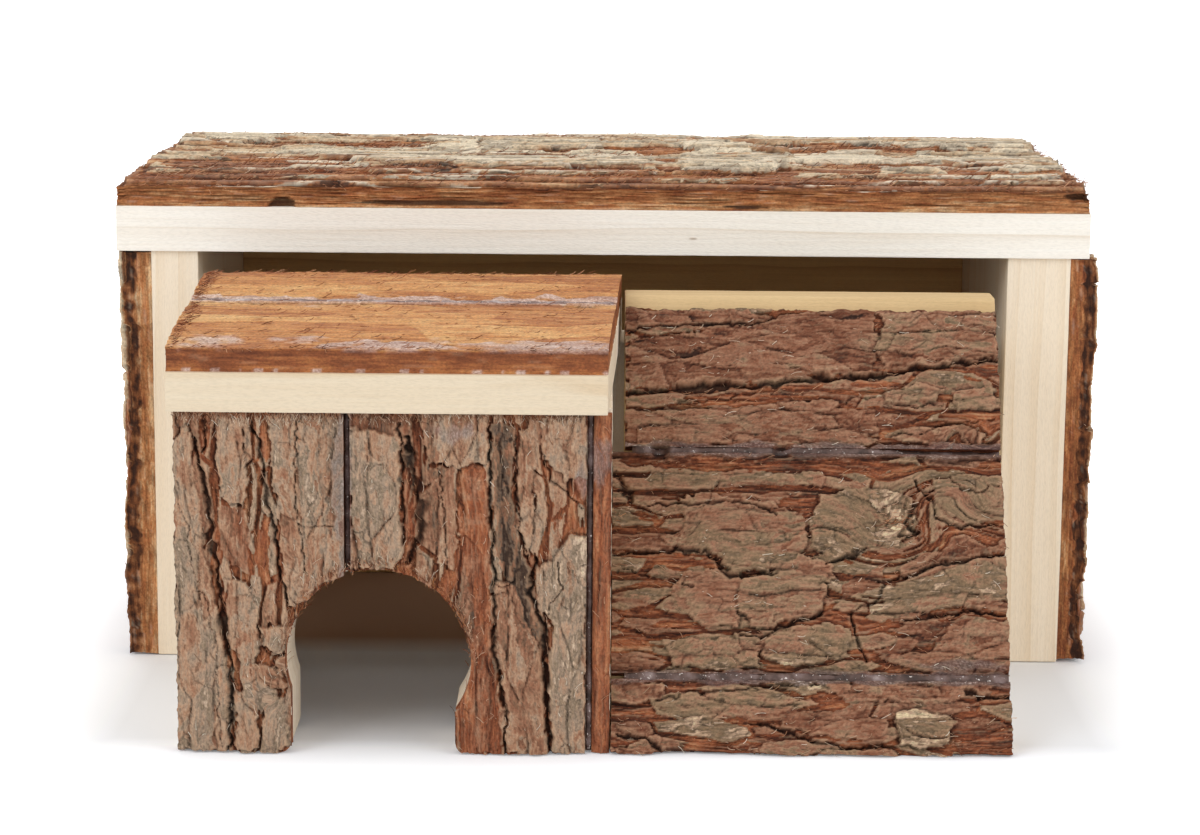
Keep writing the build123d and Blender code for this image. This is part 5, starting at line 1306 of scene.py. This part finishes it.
# A bead of glue: a squeezed-out tube along each run, whose width and height wander. A run has its
# ends, its directions, its height and spread, and gaps where the bead dips: middle and half the width
def addBead(name, node, body, finish, runs):
    points, faces = [], []
    foot = 0.75  # mm, half the width at the board
    ring = [(-foot, 0.0)] + [(-cos(t), sin(t)) for t in np.linspace(0, pi, 7)] + [(foot, 0.0)]
    for number, (start, end, across, out, height, spread, *gaps) in enumerate(runs):
        start, end, across, out = (np.array(a, float) for a in (start, end, across, out))
        long = np.linalg.norm(end - start)
        count = int(long / 1.2)
        share = np.linspace(0, 1, count)
        away = share * long
        still = away * 0 + number
        wide = 0.82 + spread * np.clip(0.5 + fractal(away / 9, still, 81, 3), 0, 1.6)
        tall = height + 0.35 * fractal(away / 5, still, 82, 3)
        for middle, half in gaps:
            tall = tall - 2.6 * np.exp(-(((away - middle) / half) ** 4))
        index = len(points) + np.arange(count * len(ring)).reshape(count, -1)
        for k in range(count):
            for a, b in ring:
                width = wide[k] if b > 0 or abs(a) == 1 else 1.0
                level = tall[k] - 0.7 + 0.7 * b**0.6 if abs(a) != foot else 0.2
                ripple = 0.3 * float(noise(np.array(away[k] / 1.6), np.array(a * 2.0), 83 + number))
                place = start + (end - start) * share[k] + across * a * width
                points.append(place + out * (level + ripple * b))
        after = np.roll(index, -1, 1)
        faces += np.stack([index[:-1], after[:-1], after[1:], index[1:]], -1).reshape(-1, 4).tolist()
        faces += [index[0, ::-1].tolist(), index[-1].tolist()]
    mesh = bpy.data.meshes.new(name)
    mesh.from_pydata([tuple(p * mm) for p in points], [], faces)
    shape = bmesh.new()
    shape.from_mesh(mesh)
    bmesh.ops.recalc_face_normals(shape, faces=shape.faces)
    shape.to_mesh(mesh)
    shape.free()
    mesh.shade_smooth()
    return addPiece(name, mesh, body, finish, [node])


roofX, _, roofZ = nodeBox("roof_front_bark")[0]
roofEnd = nodeBox("roof_front_bark")[1][0]
roofSeamY, wallSeamY = nodeBox("roof_front_board")[1][1], nodeBox("left_wall_front_board")[1][1]
leftX, rightX = nodeBox("left_wall_front_bark")[1][0], nodeBox("right_wall_front_bark")[0][0]
backY = nodeBox("back_wall_lower_bark")[0][1]
archTop = axisZ + float(np.sqrt(radius**2 - (seamX - door["x"]) ** 2))
onRoofSeam = roofBase + roofSeam * upSlope
onLowerSeam, onUpperSeam = rampBase + lowerSeam * upRamp, rampBase + upperSeam * upRamp
toRampEnd = (rampLong - 0.6) * xAxis
beads = {
    "houseGlue": ("house_seam_glue", "house", hotGlue, [
        ((roofX + 3.2, roofSeamY, roofZ), (roofEnd - 2.8, roofSeamY, roofZ), yAxis, zAxis, 7.9, 1.0),
        ((leftX, wallSeamY, 1), (leftX, wallSeamY, 128), yAxis, -xAxis, 9.0, 1.0),
        ((rightX, wallSeamY, 1), (rightX, wallSeamY, 128), yAxis, xAxis, 7.6, 1.0),
        ((-126, backY, 64), (122.5, backY, 64), zAxis, yAxis, 3.8, 0.8)]),
    "porchGlue": ("porch_front_glue", "porch_half", hotGlue, [
        ((seamX, boardY, archTop + 0.6), (seamX, boardY, 97.4), xAxis, -yAxis, 1.7, 0.0),
        ((edgeX, boardY, 0.5), (edgeX, boardY, 97.4), xAxis, -yAxis, 1.1, 0.0)]),
    "porchRoofGlue": ("porch_roof_glue", "porch_half", milkyGlue, [
        (onRoofSeam + 0.6 * xAxis, onRoofSeam + (roofLong + 1.5) * xAxis, upSlope, roofNormal, 7.2, 1.3)]),
    "rampGlue": ("ramp_seam_glue", "porch_half", hotGlue, [
        (onLowerSeam + 4 * xAxis, onLowerSeam + toRampEnd, upRamp, rampNormal, 4.0, 0.8),
        (onUpperSeam + 6 * xAxis, onUpperSeam + toRampEnd, upRamp, rampNormal, 3.8, 0.45,
         (8.0, 2.2), (43.5, 2.2), (94.0, 18.0))]),
}
for name, (node, body, finish, runs) in beads.items():
    addBead(name, node, body, finish, runs)

print("loose hairs")


# Bark fibre and sawdust, dry and matt: pale hairs, and rusty ones where the outer bark is gone
def hairFinish(name):
    material, tree = newMaterial(name)
    shade, warm = (addNode(tree, "ShaderNodeAttribute", attribute_name=label).outputs["Fac"]
                   for label in ("shade", "warm"))
    pale, rusty = (addNode(tree, "ShaderNodeValToRGB", {0: shade}, stops=stops) for stops in (
        [(0.1, "#7d5a42"), (0.5, "#bb9c7d"), (0.9, "#eadfcb")],
        [(0.1, "#4f2010"), (0.5, "#974a26"), (0.9, "#c98650")]))
    colour = addNode(tree, "ShaderNodeMix", {0: warm, 6: pale, 7: rusty}, data_type="RGBA")
    shader = addNode(tree, "ShaderNodeBsdfPrincipled", {
        "Base Color": colour, "Roughness": 0.8, "Specular IOR Level": 0.25})
    addNode(tree, "ShaderNodeOutputMaterial", {0: shader})
    return material


# Geometry nodes: bent hairs scattered on a surface, lying along its field "lie", as many as "hairs" says
def hairTree(name, material):
    tree = bpy.data.node_groups.new(name, "GeometryNodeTree")
    tree.interface.new_socket("Geometry", in_out="INPUT", socket_type="NodeSocketGeometry")
    tree.interface.new_socket("Geometry", in_out="OUTPUT", socket_type="NodeSocketGeometry")
    for label, kind in (("Density", "Float"), ("Length", "Float"), ("Radius", "Float"), ("Curl", "Float"),
                        ("Turn", "Vector"), ("Seed", "Int")):
        tree.interface.new_socket(label, in_out="INPUT", socket_type="NodeSocket" + kind)
    given = addNode(tree, "NodeGroupInput").outputs
    amount = addNode(tree, "GeometryNodeInputNamedAttribute", {"Name": "hairs"}, data_type="FLOAT")
    amount = addNode(tree, "ShaderNodeMath", {0: amount, 1: given["Density"]}, operation="MULTIPLY")
    spots = addNode(tree, "GeometryNodeDistributePointsOnFaces", {
        "Mesh": given["Geometry"], "Density": amount, "Seed": given["Seed"]})
    lie = addNode(tree, "GeometryNodeInputNamedAttribute", {"Name": "lie"}, data_type="FLOAT_VECTOR")
    aim = addNode(tree, "FunctionNodeAlignRotationToVector", {
        "Rotation": spots.outputs["Rotation"], "Vector": lie}, axis="X")
    back = addNode(tree, "ShaderNodeVectorMath", {0: given["Turn"], 1: (-1, -1, -1)}, operation="MULTIPLY")
    turn = addNode(tree, "FunctionNodeRandomValue", {
        0: back, 1: given["Turn"], "Seed": given["Seed"]}, data_type="FLOAT_VECTOR")
    turn = addNode(tree, "FunctionNodeEulerToRotation", {0: turn})
    aim = addNode(tree, "FunctionNodeRotateRotation", {0: aim, 1: turn}, rotation_space="LOCAL")
    tip = addNode(tree, "ShaderNodeCombineXYZ", {0: given["Length"], 1: given["Curl"], 2: 0.0})
    waist = addNode(tree, "ShaderNodeVectorMath", {0: tip, 1: (0.5, -0.6, 0.0)}, operation="MULTIPLY")
    spine = addNode(tree, "GeometryNodeCurveQuadraticBezier", {
        "Resolution": 3, "Start": (0, 0, 0), "Middle": waist, "End": tip})
    ring = addNode(tree, "GeometryNodeCurvePrimitiveCircle", {"Resolution": 3, "Radius": given["Radius"]})
    hair = addNode(tree, "GeometryNodeCurveToMesh", {
        "Curve": spine, "Profile Curve": ring, "Fill Caps": True})
    long = addNode(tree, "FunctionNodeRandomValue", {
        0: (0.35, 0.6, 0.6), 1: (1.3, 1.3, 1.3), "Seed": given["Seed"]}, data_type="FLOAT_VECTOR")
    laid = addNode(tree, "GeometryNodeInstanceOnPoints", {
        "Points": spots, "Instance": hair, "Rotation": aim, "Scale": long})
    shade = addNode(tree, "FunctionNodeRandomValue", {
        2: 0.0, 3: 1.0, "Seed": given["Seed"]}, data_type="FLOAT")
    laid = addNode(tree, "GeometryNodeStoreNamedAttribute", {
        "Geometry": laid, "Name": "shade", "Value": shade.outputs[1]}, data_type="FLOAT", domain="INSTANCE")
    laid = addNode(tree, "GeometryNodeRealizeInstances", {0: laid})
    laid = addNode(tree, "GeometryNodeSetMaterial", {"Geometry": laid, "Material": material})
    addNode(tree, "NodeGroupOutput", {0: laid})
    return tree


looseHairs = {
    "Density": 1e6,  # hairs for each square metre of bed whose field "hairs" is 1
    "Length": 0.0026,  # m
    "Radius": 0.0001,
    "Curl": 0.0006,
    "Turn": (3.1, 0.35, 0.8),  # radians at most, about the hair, up and down, and sideways
    "Seed": 3,
}
clear = 1e-5  # m that the hairs stay inside the part's own box
hairMaterial = hairFinish("looseBarkFibre")
tree = hairTree("looseHairs", hairMaterial)
for body, pieceName in (("house", "looseHairsHouse"), ("porch_half", "looseHairsPorch")):
    points, faces, values, count = [], [], {"hairs": [], "warm": [], "lie": []}, 0
    for bed, hairs, warm, along, flip in beds[body]:
        quads = quadsOf(count + np.arange(hairs.size).reshape(hairs.shape))
        faces.append(quads[:, ::-1] if flip else quads)
        points.append(bed.reshape(-1, 3))
        values["hairs"].append(hairs.reshape(-1))
        values["warm"].append(warm.reshape(-1))
        values["lie"].append(np.tile(along, (hairs.size, 1)))
        count += hairs.size
    mesh = bpy.data.meshes.new("looseHairs")
    mesh.from_pydata((np.concatenate(points) * mm).tolist(), [], np.concatenate(faces).tolist())
    for label, parts in values.items():
        storeField(mesh, label, "FLOAT_VECTOR" if label == "lie" else "FLOAT", np.concatenate(parts))
    holder = bpy.data.objects.new("looseHairs", mesh)
    bpy.context.scene.collection.objects.link(holder)
    modifier = holder.modifiers.new("looseHairs", "NODES")
    modifier.node_group = tree
    for socket in tree.interface.items_tree:
        if socket.in_out == "INPUT" and socket.name in looseHairs:
            modifier[socket.identifier] = looseHairs[socket.name]
    grown = holder.evaluated_get(bpy.context.evaluated_depsgraph_get())
    result = bpy.data.meshes.new_from_object(grown)
    bpy.data.objects.remove(holder)
    bpy.data.meshes.remove(mesh)
    co = np.zeros(len(result.vertices) * 3)
    result.vertices.foreach_get("co", co)
    low, high = (np.array(corner) for corner in cadBox)
    co = np.clip(co.reshape(-1, 3), low + clear, high - clear)
    result.vertices.foreach_set("co", co.reshape(-1))
    print("hairs on", body, len(result.polygons))
    addPiece(pieceName, result, body, hairMaterial, [])

print("floor, lights and camera")
stage = {
    "size": 30.0,  # m
    "drop": 0.0002,  # m below the object
    "colour": "#f2f4f8",
    "shadeUnderHouse": "#c2a086",  # painted shade, brownish, on the paper under the house
    "indoors": ((0, 0.06, 0), (0.11, 0.05, 0)),  # m, where that is: its middle and half its size
    "feather": 0.02,  # m, how softly it ends
    "shade": (0.14, 0.107, 0),  # m, half of the ground that the object covers
    "lift": (0.0, 1.0),  # light added for the camera's eye only, at the object and far from it
    "reach": (0.0, 0.07),  # m
}


# How far a place on the ground is outside a box round the middle, from half the box's size
def outside(tree, where, half):
    away = addNode(tree, "ShaderNodeVectorMath", {0: where}, operation="ABSOLUTE")
    away = addNode(tree, "ShaderNodeVectorMath", {0: away, 1: half}, operation="SUBTRACT")
    away = addNode(tree, "ShaderNodeVectorMath", {0: away, 1: (0, 0, 0)}, operation="MAXIMUM")
    return addNode(tree, "ShaderNodeVectorMath", {0: away}, operation="LENGTH").outputs["Value"]


bpy.ops.mesh.primitive_plane_add(size=stage["size"], location=(0, 0, -stage["drop"]))
floor = bpy.context.object
floor.name = "floor"
paper, tree = newMaterial("whitePaper")  # seamless studio paper, matt, so that only soft shadows show
seen = addNode(tree, "ShaderNodeLightPath").outputs
where = addNode(tree, "ShaderNodeTexCoord").outputs["Object"]
(near, far), (low, high) = stage["reach"], stage["lift"]
lifted = addNode(tree, "ShaderNodeMapRange", {
    0: outside(tree, where, stage["shade"]), 1: near, 2: far, 3: low, 4: high})
lifted = addNode(tree, "ShaderNodeMath", {0: seen["Is Camera Ray"], 1: lifted}, operation="MULTIPLY")
# The paper under the house turns to the painted shade colour
middle, half = stage["indoors"]
inner = addNode(tree, "ShaderNodeVectorMath", {0: where, 1: middle}, operation="SUBTRACT")
inner = addNode(tree, "ShaderNodeMapRange", {0: outside(tree, inner, half), 1: 0.0, 2: stage["feather"]})
paperTone = addNode(tree, "ShaderNodeMix", {
    0: inner, 6: linear(stage["shadeUnderHouse"]), 7: linear(stage["colour"])}, data_type="RGBA")
matt = addNode(tree, "ShaderNodeBsdfDiffuse", {"Color": paperTone})
lift = addNode(tree, "ShaderNodeEmission", {"Color": linear("#ffffff"), "Strength": lifted})
addNode(tree, "ShaderNodeOutputMaterial", {0: addNode(tree, "ShaderNodeAddShader", {0: matt, 1: lift})})
floor.data.materials.append(paper)

world = bpy.data.worlds.new("studio")
bpy.context.scene.world = world
world.use_nodes = True
tree = world.node_tree
tree.nodes.clear()
seen = addNode(tree, "ShaderNodeLightPath").outputs
plain = addNode(tree, "ShaderNodeMath", {
    0: seen["Is Camera Ray"], 1: seen["Is Glossy Ray"]}, operation="MAXIMUM")
plain = addNode(tree, "ShaderNodeMath", {0: plain, 1: seen["Is Transmission Ray"]}, operation="MAXIMUM")
towards = addNode(tree, "ShaderNodeTexCoord").outputs["Generated"]
up = addNode(tree, "ShaderNodeSeparateXYZ", {0: towards}).outputs[2]
tent = addNode(tree, "ShaderNodeMapRange", {  # a light tent, dimmer overhead
    0: up, 1: 0.35, 2: 1.0, 3: 1.05, 4: 0.33})
strength = addNode(tree, "ShaderNodeMix", {0: plain, 2: tent, 3: 1.0})
addNode(tree, "ShaderNodeOutputWorld", {
    0: addNode(tree, "ShaderNodeBackground", {0: linear("#ffffff"), 1: strength.outputs[0]})})

lamps = {  # place in metres, size in metres, watts
    "leftSoftbox": ((-1.2, -1.25, 1.4), 1.2, 12.0),
    "rightSoftbox": ((1.4, -1.1, 1.2), 1.2, 8.0),
    "backSoftbox": ((0.0, 0.7, 1.8), 1.4, 7.0),
}
for name, (place, size, watts) in lamps.items():
    lamp = bpy.data.lights.new(name, "AREA")
    lamp.energy, lamp.size = watts, size
    holder = bpy.data.objects.new(name, lamp)
    bpy.context.scene.collection.objects.link(holder)
    holder.location = place
    holder.rotation_euler = (Vector((0, 0, 0.06)) - Vector(place)).to_track_quat("-Z", "Y").to_euler()

# The camera's place in metres, its lens in mm, and how far it looks down and leans
view = {"place": (-0.00225, -0.935, 0.245), "lens": 90.0, "pitch": radians(10.33), "roll": 0.0087}
camera = bpy.data.cameras.new("camera")
camera.lens, camera.sensor_width, camera.clip_start = view["lens"], 36.0, 0.01
holder = bpy.data.objects.new("camera", camera)
bpy.context.scene.collection.objects.link(holder)
forward = Vector((0, cos(view["pitch"]), -sin(view["pitch"])))
level = Vector((0, sin(view["pitch"]), cos(view["pitch"])))
right = cos(view["roll"]) * Vector((1, 0, 0)) + sin(view["roll"]) * level
upward = cos(view["roll"]) * level - sin(view["roll"]) * Vector((1, 0, 0))
holder.matrix_world = Matrix((
    (right.x, upward.x, -forward.x, view["place"][0]),
    (right.y, upward.y, -forward.y, view["place"][1]),
    (right.z, upward.z, -forward.z, view["place"][2]),
    (0, 0, 0, 1)))
bpy.context.scene.camera = holder
bpy.context.scene.view_settings.view_transform = "Standard"

print("done")
